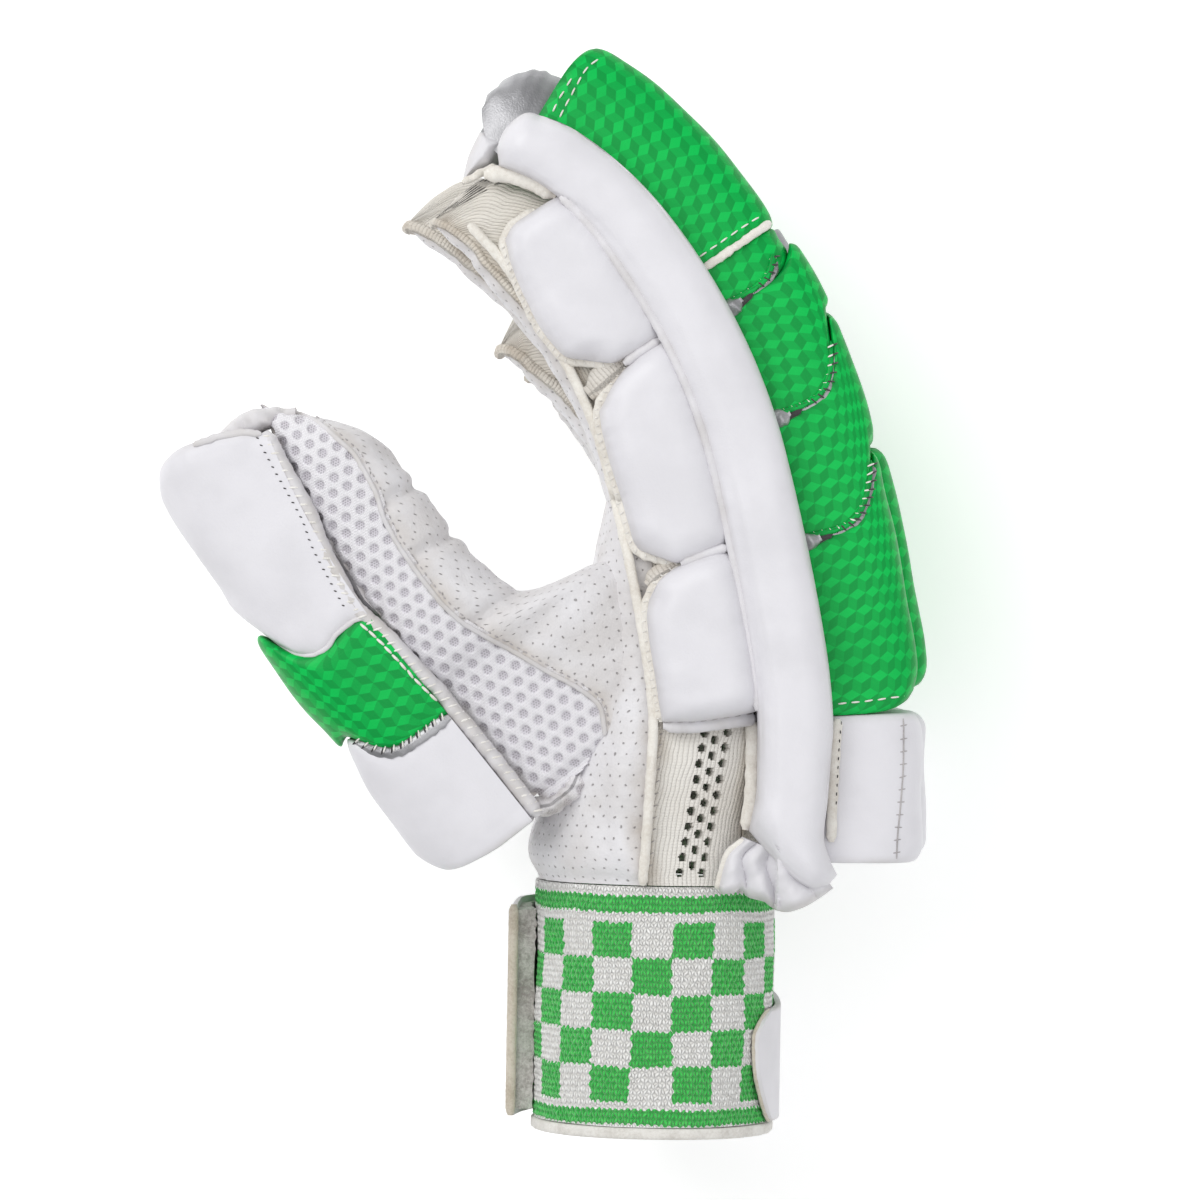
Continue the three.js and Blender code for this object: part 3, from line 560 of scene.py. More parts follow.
def add_node(tree, kind, inputs=None, **settings):
    """A node with its settings, and each input set to a value or joined to a socket"""
    item = tree.nodes.new("ShaderNode" + kind)
    for key, value in settings.items():
        setattr(item, key, value)
    for key, value in (inputs or {}).items():
        socket = item.inputs[key]
        if isinstance(value, bpy.types.NodeSocket):
            tree.links.new(value, socket)
        else:
            socket.default_value = value
    return item


def sum_up(tree, operation, *values, clamp=False):
    """One Math node"""
    inputs = {i: value for i, value in enumerate(values)}
    return add_node(tree, "Math", inputs, operation=operation, use_clamp=clamp).outputs[0]


def plus(tree, a, b, clamp=False):
    return sum_up(tree, "ADD", a, b, clamp=clamp)


def minus(tree, a, b, clamp=False):
    return sum_up(tree, "SUBTRACT", a, b, clamp=clamp)


def times(tree, a, b):
    return sum_up(tree, "MULTIPLY", a, b)


def over(tree, a, b):
    return sum_up(tree, "DIVIDE", a, b)


def new_group(name, inputs, outputs):
    """An empty node group with named inputs and outputs"""
    group = bpy.data.node_groups.new(name, "ShaderNodeTree")
    for label, kind, value in inputs:
        socket = group.interface.new_socket(label, in_out="INPUT", socket_type="NodeSocket" + kind)
        if value is not None:
            socket.default_value = value
    for label, kind in outputs:
        group.interface.new_socket(label, in_out="OUTPUT", socket_type="NodeSocket" + kind)
    start = group.nodes.new("NodeGroupInput")
    end = group.nodes.new("NodeGroupOutput")
    return group, start.outputs, end.inputs


def ramp(tree, value, low, high):
    """A soft step from 0 at low to 1 at high"""
    inputs = {"Value": value, "From Min": low, "From Max": high}
    return add_node(tree, "MapRange", inputs, interpolation_type="SMOOTHSTEP").outputs[0]


def band(tree, value, low, high):
    """1 between low and high, and 0 elsewhere"""
    over_low = sum_up(tree, "GREATER_THAN", value, low)
    return times(tree, over_low, sum_up(tree, "LESS_THAN", value, high))


def noise(tree, place, scale, detail=3.0, roughness=0.55):
    """Soft noise from 0 to 1"""
    inputs = {"Vector": place, "Scale": scale, "Detail": detail, "Roughness": roughness}
    return add_node(tree, "TexNoise", inputs).outputs["Fac"]


def make_grain_group():
    """Leather grain: fine pebbles and soft unevenness. Place is in metres"""
    group, given, made = new_group(
        "Leather grain", [("Place", "Vector", None), ("Pebble", "Float", 0.6)],
        [("Height", "Float"), ("Tone", "Float")])
    scale = over(group, 1000.0, given["Pebble"])
    cells = add_node(group, "TexVoronoi", {"Vector": given["Place"], "Scale": scale}, feature="SMOOTH_F1")
    fine = noise(group, given["Place"], 1800.0, 2.0)
    soft = noise(group, given["Place"], 160.0, 3.0)
    pebble = times(group, cells.outputs["Distance"], 0.7)
    height = plus(group, pebble, times(group, fine, 0.35))
    group.links.new(plus(group, height, soft), made["Height"])
    group.links.new(noise(group, given["Place"], 55.0, 4.0), made["Tone"])
    return group


def make_seam_soiling_and_shade_group():
    """Seam soiling and painted shade, and wear: handling marks, and darkening along seams that is partly
    soiling and partly painted shade
    """
    group, given, made = new_group(
        "Seam soiling and painted shade, and wear", [("Place", "Vector", None), ("Seam", "Float", FAR_AWAY), ("Reach", "Float", 3.0)],
        [("Seam soiling and shade", "Float"), ("Marks", "Float")])
    # Darker the nearer a seam: partly painted shade in the seam's crease, partly patchy soiling
    near = over(group, given["Seam"], given["Reach"])
    close = minus(group, 1.0, near, clamp=True)
    patchy = ramp(group, noise(group, given["Place"], 90.0, 4.0), 0.35, 0.75)
    group.links.new(times(group, close, plus(group, patchy, 0.35)), made["Seam soiling and shade"])
    specks = ramp(group, noise(group, given["Place"], 420.0, 2.0), 0.72, 0.8)
    area = ramp(group, noise(group, given["Place"], 30.0, 2.0), 0.5, 0.7)
    group.links.new(times(group, specks, area), made["Marks"])
    return group


def make_stitch_group():
    """Knitted stitches: slanted yarn strokes in rows. Flat is in millimetres"""
    group, given, made = new_group(
        "Knitted stitches", [("Flat", "Vector", None), ("Stitch", "Float", 1.8), ("Row", "Float", 1.6),
                             ("Slant", "Float", 0.45)],
        [("Height", "Float"), ("Gap", "Float")])
    parts = add_node(group, "SeparateXYZ", {0: given["Flat"]})
    wide = over(group, times(group, parts.outputs[0], 2.0), given["Stitch"])
    rows = over(group, parts.outputs[1], given["Row"])
    column = sum_up(group, "FLOOR", wide)
    row = sum_up(group, "FLOOR", rows)
    x = minus(group, minus(group, wide, column), 0.5)
    y = minus(group, minus(group, rows, row), 0.5)
    odd = sum_up(group, "FLOORED_MODULO", plus(group, column, row), 2.0)
    way = minus(group, times(group, odd, 2.0), 1.0)
    slope = times(group, times(group, way, given["Slant"]), x)
    off = sum_up(group, "ABSOLUTE", minus(group, y, slope))
    yarn = minus(group, 1.0, sum_up(group, "POWER", times(group, off, 2.3), 2.0), clamp=True)
    aside = sum_up(group, "ABSOLUTE", times(group, x, 1.9))
    ends = minus(group, 1.0, sum_up(group, "POWER", aside, 4.0), clamp=True)
    height = times(group, sum_up(group, "POWER", yarn, 0.5), ends)
    group.links.new(height, made["Height"])
    group.links.new(minus(group, 1.0, height, clamp=True), made["Gap"])
    return group


def make_rib_group():
    """Fine ribbed knit: ribs along the finger with small stitches across. Flat is in millimetres"""
    group, given, made = new_group(
        "Ribbed knit", [("Flat", "Vector", None), ("Rib", "Float", 1.3), ("Row", "Float", 0.8)],
        [("Height", "Float"), ("Gap", "Float")])
    parts = add_node(group, "SeparateXYZ", {0: given["Flat"]})
    wave = times(group, over(group, parts.outputs[0], given["Rib"]), pi)
    rib = sum_up(group, "ABSOLUTE", sum_up(group, "SINE", wave))
    row = times(group, over(group, parts.outputs[1], given["Row"]), 2 * pi)
    beat = plus(group, times(group, sum_up(group, "SINE", row), 0.16), 0.84)
    height = times(group, sum_up(group, "POWER", rib, 0.6), beat)
    group.links.new(height, made["Height"])
    group.links.new(minus(group, 1.0, times(group, rib, 2.6), clamp=True), made["Gap"])
    return group


def make_hole_group():
    """Staggered rows of small round holes. Flat is in millimetres"""
    group, given, made = new_group(
        "Staggered holes", [("Flat", "Vector", None), ("Pitch", "Float", 4.2), ("Radius", "Float", 0.4),
                            ("Wander", "Float", 0.0)],
        [("Hole", "Float"), ("Rim", "Float")])
    waves = {"Vector": given["Flat"], "Scale": 0.35, "Detail": 1.0}
    drift = add_node(group, "TexNoise", waves).outputs["Color"]
    centred = add_node(group, "VectorMath", {0: drift, 1: (0.5, 0.5, 0.5)}, operation="SUBTRACT").outputs[0]
    amount = times(group, given["Wander"], 4.0)
    moved = add_node(group, "VectorMath", {0: centred, "Scale": amount}, operation="SCALE").outputs[0]
    place = add_node(group, "VectorMath", {0: given["Flat"], 1: moved}, operation="ADD").outputs[0]
    parts = add_node(group, "SeparateXYZ", {0: place})
    tall = times(group, given["Pitch"], STAGGER)
    rows = over(group, parts.outputs[1], tall)
    row = sum_up(group, "FLOOR", rows)
    odd = sum_up(group, "FLOORED_MODULO", row, 2.0)
    cols = plus(group, over(group, parts.outputs[0], given["Pitch"]), times(group, odd, 0.5))
    x = minus(group, sum_up(group, "FRACT", cols), 0.5)
    y = times(group, minus(group, minus(group, rows, row), 0.5), STAGGER)
    square = plus(group, times(group, x, x), times(group, y, y))
    away = times(group, sum_up(group, "SQRT", square), given["Pitch"])
    edge = over(group, away, given["Radius"])
    group.links.new(minus(group, 1.0, ramp(group, edge, 0.75, 1.15)), made["Hole"])
    group.links.new(minus(group, 1.0, ramp(group, edge, 1.0, 2.2)), made["Rim"])
    return group


def make_print_group():
    """Tone on tone print of stacked blocks, each with three faces. Flat is in millimetres"""
    group, given, made = new_group(
        "Block print", [("Flat", "Vector", None), ("Block", "Float", 8.0)], [("Tone", "Float")])
    parts = add_node(group, "SeparateXYZ", {0: given["Flat"]})
    x = over(group, parts.outputs[0], given["Block"])
    y = over(group, parts.outputs[1], given["Block"])
    cells = []
    for a, b in ((1.1547, 0.0), (-0.57735, 1.0), (-0.57735, -1.0)):
        axis = plus(group, times(group, x, a), times(group, y, b))
        cells.append(sum_up(group, "FLOOR", axis))
    total = plus(group, plus(group, cells[0], cells[1]), cells[2])
    up = minus(group, times(group, sum_up(group, "GREATER_THAN", total, -1.5), 2.0), 1.0)
    kind = sum_up(group, "FLOORED_MODULO", minus(group, cells[0], cells[1]), 3.0)
    kind = sum_up(group, "ROUND", kind)
    side = times(group, minus(group, times(group, kind, 2.0), 3.0), up)
    flat_face = sum_up(group, "GREATER_THAN", sum_up(group, "ABSOLUTE", side), 2.0)
    tone = plus(group, times(group, side, 0.5), 0.5, clamp=True)
    tone = times(group, tone, minus(group, 1.0, flat_face))
    tone = plus(group, tone, times(group, flat_face, 0.4))
    group.links.new(tone, made["Tone"])
    return group


GRAIN = make_grain_group()
SEAM_SOILING_AND_SHADE = make_seam_soiling_and_shade_group()
STITCHES = make_stitch_group()
RIBS = make_rib_group()
HOLES = make_hole_group()
PRINT = make_print_group()


def use(tree, group, **inputs):
    """One of the node groups in a material"""
    item = tree.nodes.new("ShaderNodeGroup")
    item.node_tree = group
    for key, value in inputs.items():
        socket = item.inputs[key.replace("_", " ")]
        if isinstance(value, bpy.types.NodeSocket):
            tree.links.new(value, socket)
        else:
            socket.default_value = value
    return item.outputs


def blend(tree, low, high, share):
    """A colour between two"""
    item = tree.nodes.new("ShaderNodeMix")
    item.data_type = "RGBA"
    for socket, value in ((item.inputs[0], share), (item.inputs[6], low), (item.inputs[7], high)):
        if isinstance(value, bpy.types.NodeSocket):
            tree.links.new(value, socket)
        else:
            socket.default_value = value
    return item.outputs[2]


def paint(red, green, blue):
    """A colour given as the eye sees it, from 0 to 255"""
    values = [part / 255 for part in (red, green, blue)]
    return tuple(v / 12.92 if v <= 0.04045 else ((v + 0.055) / 1.055) ** 2.4 for v in values) + (1.0,)


class Finish:
    """A material with its shader, its place in metres, and the fields of its piece"""

    def __init__(self, name, roughness, sheen=0.0, metallic=0.0, coat=0.0, specular=0.5):
        self.material = bpy.data.materials.new(name)
        self.material.use_nodes = True
        self.tree = self.material.node_tree
        self.shader = self.tree.nodes["Principled BSDF"]
        self.shader.inputs["Roughness"].default_value = roughness
        self.shader.inputs["Sheen Weight"].default_value = sheen
        self.shader.inputs["Sheen Roughness"].default_value = 0.5
        self.shader.inputs["Metallic"].default_value = metallic
        self.shader.inputs["Coat Weight"].default_value = coat
        self.shader.inputs["Coat Roughness"].default_value = 0.35
        self.shader.inputs["Specular IOR Level"].default_value = specular
        self.place = add_node(self.tree, "TexCoord").outputs["Object"]
        self.flat = add_node(self.tree, "Attribute", attribute_name="flat").outputs["Vector"]
        self.seam = add_node(self.tree, "Attribute", attribute_name="seam").outputs["Fac"]

    def colour(self, socket):
        self.tree.links.new(socket, self.shader.inputs["Base Color"])

    def roughness(self, socket):
        self.tree.links.new(socket, self.shader.inputs["Roughness"])

    def bump(self, layers):
        """Relief: pairs of a height socket and its depth in millimetres"""
        normal = None
        for height, depth in layers:
            inputs = {"Height": height, "Distance": depth * 0.001, "Strength": 1.0}
            if normal is not None:
                inputs["Normal"] = normal
            normal = add_node(self.tree, "Bump", inputs).outputs[0]
        self.tree.links.new(normal, self.shader.inputs["Normal"])


def pad_leather(name, base, soiling_and_shade, roughness=0.5):
    """Smooth coated leather of the white pads"""
    finish = Finish(name, roughness, coat=0.06)
    tree = finish.tree
    grain = use(tree, GRAIN, Place=finish.place, Pebble=0.55)
    seam_soiling_and_shade = use(tree, SEAM_SOILING_AND_SHADE, Place=finish.place, Seam=finish.seam, Reach=2.2)
    shade = tuple(part * 0.94 for part in base[:3]) + (1.0,)
    tone = blend(tree, base, shade, ramp(tree, grain["Tone"], 0.35, 0.7))
    # Darker along the seams: partly soiling, partly painted shade in the seams
    tone = blend(tree, tone, soiling_and_shade, times(tree, seam_soiling_and_shade["Seam soiling and shade"], 0.4))
    finish.colour(blend(tree, tone, soiling_and_shade, times(tree, seam_soiling_and_shade["Marks"], 0.35)))
    finish.roughness(plus(tree, times(tree, grain["Tone"], 0.18), roughness - 0.09))
    finish.bump([(grain["Height"], 0.05)])
    return finish.material


def print_leather(name, light, dark, roughness):
    """Green coated leather with a tone on tone print"""
    finish = Finish(name, roughness, specular=0.2)
    tree = finish.tree
    grain = use(tree, GRAIN, Place=finish.place, Pebble=0.5)
    tone = use(tree, PRINT, Flat=finish.flat, Block=2.9)["Tone"]
    body = blend(tree, dark, light, plus(tree, times(tree, tone, 0.8), 0.1))
    shade = tuple(c * 0.5 for c in dark[:3]) + (1.0,)
    body = blend(tree, body, dark, times(tree, ramp(tree, grain["Tone"], 0.45, 0.75), 0.35))
    seam_soiling_and_shade = use(tree, SEAM_SOILING_AND_SHADE, Place=finish.place, Seam=finish.seam, Reach=2.0)
    # Darker along the seams: partly soiling, partly painted shade in the seams
    finish.colour(blend(tree, body, shade, times(tree, seam_soiling_and_shade["Seam soiling and shade"], 0.55)))
    finish.roughness(plus(tree, times(tree, grain["Tone"], 0.2), roughness - 0.1))
    finish.bump([(grain["Height"], 0.06)])
    return finish.material


def silver_leather(name):
    """Soft metallic leather"""
    finish = Finish(name, 0.36, metallic=0.7, coat=0.1)
    tree = finish.tree
    grain = use(tree, GRAIN, Place=finish.place, Pebble=0.45)
    body = blend(tree, paint(138, 138, 141), paint(186, 186, 189), ramp(tree, grain["Tone"], 0.3, 0.7))
    finish.colour(body)
    finish.roughness(plus(tree, times(tree, grain["Tone"], 0.25), 0.3))
    finish.bump([(grain["Height"], 0.09)])
    return finish.material


def palm_leather(name, holes, radius, wander, pitch):
    """Thin soft leather with pin holes and creases"""
    finish = Finish(name, 0.6, sheen=0.05)
    tree = finish.tree
    grain = use(tree, GRAIN, Place=finish.place, Pebble=0.5)
    seam_soiling_and_shade = use(tree, SEAM_SOILING_AND_SHADE, Place=finish.place, Seam=finish.seam, Reach=6.0)
    base = blend(tree, paint(227, 226, 229), paint(212, 209, 209), ramp(tree, grain["Tone"], 0.35, 0.75))
    # Darker along the seams: partly soiling, partly painted shade in the seams
    base = blend(tree, base, paint(176, 164, 148), times(tree, seam_soiling_and_shade["Seam soiling and shade"], 0.5))
    base = blend(tree, base, paint(150, 142, 135), times(tree, seam_soiling_and_shade["Marks"], 0.3))
    pins = use(tree, HOLES, Flat=finish.flat, Pitch=pitch, Radius=radius, Wander=wander)
    # The pin holes are painted dark, as painted shade inside them, with a fainter darker ring painted round
    # each
    base = blend(tree, base, paint(178, 174, 172), times(tree, pins["Rim"], 0.35))
    base = blend(tree, base, paint(112, 108, 108), times(tree, pins["Hole"], holes))
    finish.colour(base)
    crease = noise(tree, finish.place, 240.0, 4.0, 0.6)
    depth = minus(tree, 0.0, pins["Hole"])
    finish.bump([(grain["Height"], 0.08), (crease, 0.5), (depth, 0.5)])
    return finish.material


def ribbed_knit(name, light, deep, rib=1.35, pierced=0.0):
    """Fine cream knit with ribs, painted darker between them as painted shade. From pierced millimetres
    along, it has rows of holes painted dark as painted shade inside them
    """
    finish = Finish(name, 0.92, sheen=0.25)
    tree = finish.tree
    wave = add_node(tree, "TexNoise", {"Vector": finish.flat, "Scale": 0.08, "Detail": 2.0}).outputs["Color"]
    moved = add_node(tree, "VectorMath", {0: wave, "Scale": 3.0}, operation="SCALE").outputs[0]
    place = add_node(tree, "VectorMath", {0: finish.flat, 1: moved}, operation="ADD").outputs[0]
    knit = use(tree, RIBS, Flat=place, Rib=rib, Row=0.85)
    seam_soiling_and_shade = use(tree, SEAM_SOILING_AND_SHADE, Place=finish.place, Seam=finish.seam, Reach=5.0)
    fuzz = noise(tree, finish.place, 1500.0, 4.0, 0.7)
    blotch = ramp(tree, noise(tree, finish.place, 45.0, 3.0), 0.4, 0.75)
    base = blend(tree, light, deep, times(tree, blotch, 0.45))
    # Darker in the gaps between the ribs: painted shade
    base = blend(tree, base, paint(150, 136, 118), times(tree, knit["Gap"], 0.3))
    # Darker along the seams: partly soiling, partly painted shade in the seams
    base = blend(tree, base, paint(168, 152, 132), times(tree, seam_soiling_and_shade["Seam soiling and shade"], 0.5))
    relief = [(knit["Height"], 0.28), (fuzz, 0.15)]
    if pierced:
        along = add_node(tree, "SeparateXYZ", {0: finish.flat}).outputs[1]
        pins = use(tree, HOLES, Flat=finish.flat, Pitch=2.6, Radius=0.72, Wander=0.15)
        patch = times(tree, pins["Hole"], ramp(tree, along, pierced, pierced + 1.5))
        # The pierced rows' holes are painted dark: painted shade inside them
        base = blend(tree, base, paint(66, 62, 58), times(tree, patch, 0.9))
        relief.append((minus(tree, 0.0, patch), 0.6))
    finish.colour(base)
    finish.bump(relief)
    return finish.material


def cuff_knit(name):
    """Chunky knit of the cuff with green squares and two stripes"""
    finish = Finish(name, 0.95, sheen=0.35)
    tree = finish.tree
    knit = use(tree, STITCHES, Flat=finish.flat, Stitch=CUFF_STITCH, Row=CUFF_ROW, Slant=0.5)
    parts = add_node(tree, "SeparateXYZ", {0: finish.flat})
    u, v = parts.outputs[0], parts.outputs[1]
    wave_u = sum_up(tree, "SINE", times(tree, u, 2 * pi / CUFF_STITCH))
    beat_v = sum_up(tree, "SINE", times(tree, v, pi / CUFF_ROW))
    fuzz = noise(tree, finish.place, 900.0, 3.0, 0.7)
    rough = times(tree, minus(tree, fuzz, 0.5), 0.8)
    depth = plus(tree, plus(tree, v, times(tree, wave_u, 0.3)), rough)
    side = plus(tree, plus(tree, u, times(tree, beat_v, 0.28)), rough)
    square = sum_up(tree, "FLOOR", over(tree, side, CHECK_WIDTH))
    down = minus(tree, depth, CHECK_START)
    level = sum_up(tree, "FLOOR", over(tree, down, CHECK_HEIGHT))
    odd = sum_up(tree, "FLOORED_MODULO", plus(tree, square, level), 2.0)
    checks = band(tree, depth, CHECK_START, CHECK_START + CHECK_ROWS * CHECK_HEIGHT)
    green = times(tree, odd, checks)
    for low, high in CUFF_STRIPES:
        green = sum_up(tree, "MAXIMUM", green, band(tree, depth, low, high))
    mottle = noise(tree, finish.place, 500.0, 3.0)
    leaf = blend(tree, paint(58, 198, 82), paint(84, 214, 98), ramp(tree, mottle, 0.35, 0.7))
    # Darker green in the gaps between the stitches: painted shade
    leaf = blend(tree, leaf, paint(18, 128, 46), times(tree, knit["Gap"], 0.6))
    chalk = blend(tree, paint(250, 250, 248), paint(240, 239, 236), ramp(tree, mottle, 0.35, 0.7))
    # Greyer white in the gaps between the stitches: painted shade
    chalk = blend(tree, chalk, paint(192, 190, 184), times(tree, knit["Gap"], 0.45))
    finish.colour(blend(tree, chalk, leaf, green))
    finish.bump([(knit["Height"], 0.55), (fuzz, 0.2)])
    return finish.material


def thumb_mesh(name):
    """Spacer mesh with round cells"""
    finish = Finish(name, 0.85, sheen=0.1)
    tree = finish.tree
    cells = use(tree, HOLES, Flat=finish.flat, Pitch=MESH_PITCH, Radius=MESH_HOLE, Wander=0.0)
    fine = use(tree, STITCHES, Flat=finish.flat, Stitch=0.9, Row=0.7, Slant=0.5)
    below = use(tree, HOLES, Flat=finish.flat, Pitch=0.75, Radius=0.26, Wander=0.0)
    # Darker in the gaps of the fine knit: painted shade
    base = blend(tree, paint(248, 247, 251), paint(222, 219, 225), times(tree, fine["Gap"], 0.5))
    # The cells' pits are painted greyer and the small holes below them darker still: painted shade inside
    # the cells
    pit = blend(tree, paint(224, 221, 228), paint(188, 184, 191), below["Hole"])
    base = blend(tree, base, pit, cells["Hole"])
    seam_soiling_and_shade = use(tree, SEAM_SOILING_AND_SHADE, Place=finish.place, Seam=finish.seam, Reach=3.0)
    # Darker along the seams: partly soiling, partly painted shade in the seams
    finish.colour(blend(tree, base, paint(180, 172, 160), times(tree, seam_soiling_and_shade["Seam soiling and shade"], 0.4)))
    finish.bump([(fine["Height"], 0.16)])
    return finish.material


def fuzzy_cloth(name, light, deep, depth=0.25, scale=900.0, roughness=0.95):
    """Cotton tape, felt and thread"""
    finish = Finish(name, roughness, sheen=0.3)
    tree = finish.tree
    fuzz = noise(tree, finish.place, scale, 4.0, 0.75)
    patch = noise(tree, finish.place, 110.0, 3.0)
    tone = plus(tree, times(tree, fuzz, 0.5), times(tree, patch, 0.5))
    finish.colour(blend(tree, light, deep, ramp(tree, tone, 0.38, 0.66)))
    finish.bump([(fuzz, depth)])
    return finish.material


WHITE = pad_leather("White pad leather", paint(226, 225, 230), paint(190, 186, 182))
GREEN = print_leather("Green printed leather", paint(2, 196, 84), paint(0, 146, 62), 0.42)
SILVER = silver_leather("Silver leather")
PALM = palm_leather("Palm leather", 0.55, 0.24, 0.4, 3.4)
SOFT_LEATHER = pad_leather("Soft white leather", paint(222, 221, 225), paint(182, 174, 162), 0.6)
KNIT = ribbed_knit("Cream knit", paint(231, 227, 219), paint(217, 209, 197), 1.05)
TIP_KNIT = ribbed_knit("Pierced knit", paint(231, 227, 219), paint(217, 209, 197), 1.05, PIERCED_FROM)
SIDE_KNIT = ribbed_knit("Side knit", paint(233, 230, 224), paint(217, 211, 202), 1.2)
EDGE = fuzzy_cloth("Cut edge", paint(206, 198, 184), paint(176, 164, 146), 0.15, 1200.0, 0.8)
# Grey stitches and a seam line: their grey is painted shade in the seams
SEAM_SHADE = fuzzy_cloth("Grey thread and seam shade", paint(186, 182, 182), paint(156, 152, 154), 0.06, 2500.0, 0.7)
HEM = fuzzy_cloth("Hem yarn", paint(232, 230, 225), paint(208, 204, 197), 0.2, 1100.0)

CUFF = cuff_knit("Cuff knit")
MESH = thumb_mesh("Thumb mesh")
TAPE = fuzzy_cloth("Cotton binding", paint(239, 236, 229), paint(220, 214, 204))
WHITE_THREAD = fuzzy_cloth("White thread", paint(244, 242, 238), paint(222, 218, 210), 0.06, 2500.0, 0.7)
# Dark thread: real dark stitches, and also dark copies and cords that are painted shadow at the flaps' edges
DARK_THREAD_AND_SHADOW = fuzzy_cloth("Dark thread and painted shadow", paint(62, 58, 60), paint(40, 38, 40), 0.06, 2500.0, 0.7)
HOOKS = fuzzy_cloth("Hook tape", paint(214, 212, 207), paint(150, 146, 140), 0.6, 900.0)


def puff(distance, reach, start):
    """How high padding stands at a distance from its sewn edge"""
    share = np.clip(distance / reach, 0, 1)
    return start + (1 - start) * np.sqrt(np.maximum(1 - (1 - share) ** 2, 0))


def dense(count, ends=0.5):
    """Numbers from 0 to 1, closer together towards both ends where ends is above 0"""
    even = np.linspace(0, 1, count + 1)
    return mix(even, (1 - np.cos(pi * even)) / 2, ends)


# Side bars and side pads

def arch(count, wall=5):
    """A padded section: shares across from -1 to 1, and up from -1 at the base past 0 to 1"""
    cross, rise = square_point(3, 180 - 180 * dense(count, -0.35))
    down = -np.linspace(1, 0, wall, endpoint=False)
    side = np.ones(wall)
    return np.concatenate([-side, cross, side]), np.concatenate([down, rise, down[::-1]])


def stroke(points, shares):
    """Points at some shares of the way along a smooth line through a few points"""
    points = np.array(points, float)
    way = np.concatenate([[0], np.cumsum(np.hypot(*np.diff(points, axis=0).T))])
    fine = np.linspace(0, way[-1], 400)
    line = np.stack([soft(list(zip(way, points[:, k])), fine) for k in (0, 1)], -1)
    run = np.concatenate([[0], np.cumsum(np.hypot(*np.diff(line, axis=0).T))])
    stops = np.asarray(shares) * run[-1]
    return np.stack([np.interp(stops, run, line[:, k]) for k in (0, 1)], -1)


def along_line(guide, line, count, level):
    """Points along a line of s and n, at a level or at what a function of s and n gives"""
    s, n = stroke(line, np.linspace(0, 1, count)).T
    return guide.place(s, n, level(s, n) if callable(level) else level)


def patch_grid(near, far, start, end, u, v):
    """s and n of a patch between four lines: near and far run along it, start and end across it"""
    a, b = stroke(near, u), stroke(far, u)
    c, d = stroke(start, v), stroke(end, v)
    u, v = u[:, None, None], v[None, :, None]
    ruled = mix(a[:, None], b[:, None], v) + mix(c[None], d[None], u)
    corners = mix(mix(a[0], b[0], v), mix(a[-1], b[-1], v), u)
    grid = ruled - corners
    return grid[..., 0], grid[..., 1]


def edge_gap(s, n):
    """Distance of each point of a patch from its four edges"""
    place = np.stack([s, n], -1)
    lines = (place[:, 0], place[:, -1], place[0], place[-1])
    return [np.sqrt(((place[:, :, None] - line[None, None]) ** 2).sum(-1).min(-1)) for line in lines]


def side_padding(name, finger, side, lines, rise, size, starts, reach, seed, node):
    """Stuffed padding on one side of the hand. lines are its back, palm, wrist and tip edges, and
    starts the share of the height at each"""
    s, n = patch_grid(*lines, dense(size[0], 0.7), dense(size[1], 0.7))
    base = side_base(finger, s, n)
    gaps = edge_gap(s, n)
    shape = 1
    for gap, start in zip(gaps, starts):
        shape = shape * puff(gap, reach, start)
    seam = np.minimum(np.minimum(gaps[0] + 9 * (starts[0] > 0.6), gaps[1] + 9 * (starts[1] > 0.6)),
                      np.minimum(gaps[2], gaps[3]))
    pucker = np.exp(-seam / 2.2) * uneven(s, n, 5, seed) * 0.3
    dent = (uneven(s, n, 34, seed + 1) * 0.45 + uneven(s, n, 13, seed + 2) * 0.1) * np.clip(seam / 6, 0, 1)
    level = HAND_HALF + GAP + rise
    z = base + (level - base) * shape + pucker + dent
    outer = finger.guide.place(s, n, side * np.minimum(z, level + 0.7))
    inner = finger.guide.place(s, n, side * (base - 0.05))
    piece = slab(name, outer, inner, WHITE, flat=(n, s), seam=seam)
    return finish_piece(piece, (node,))


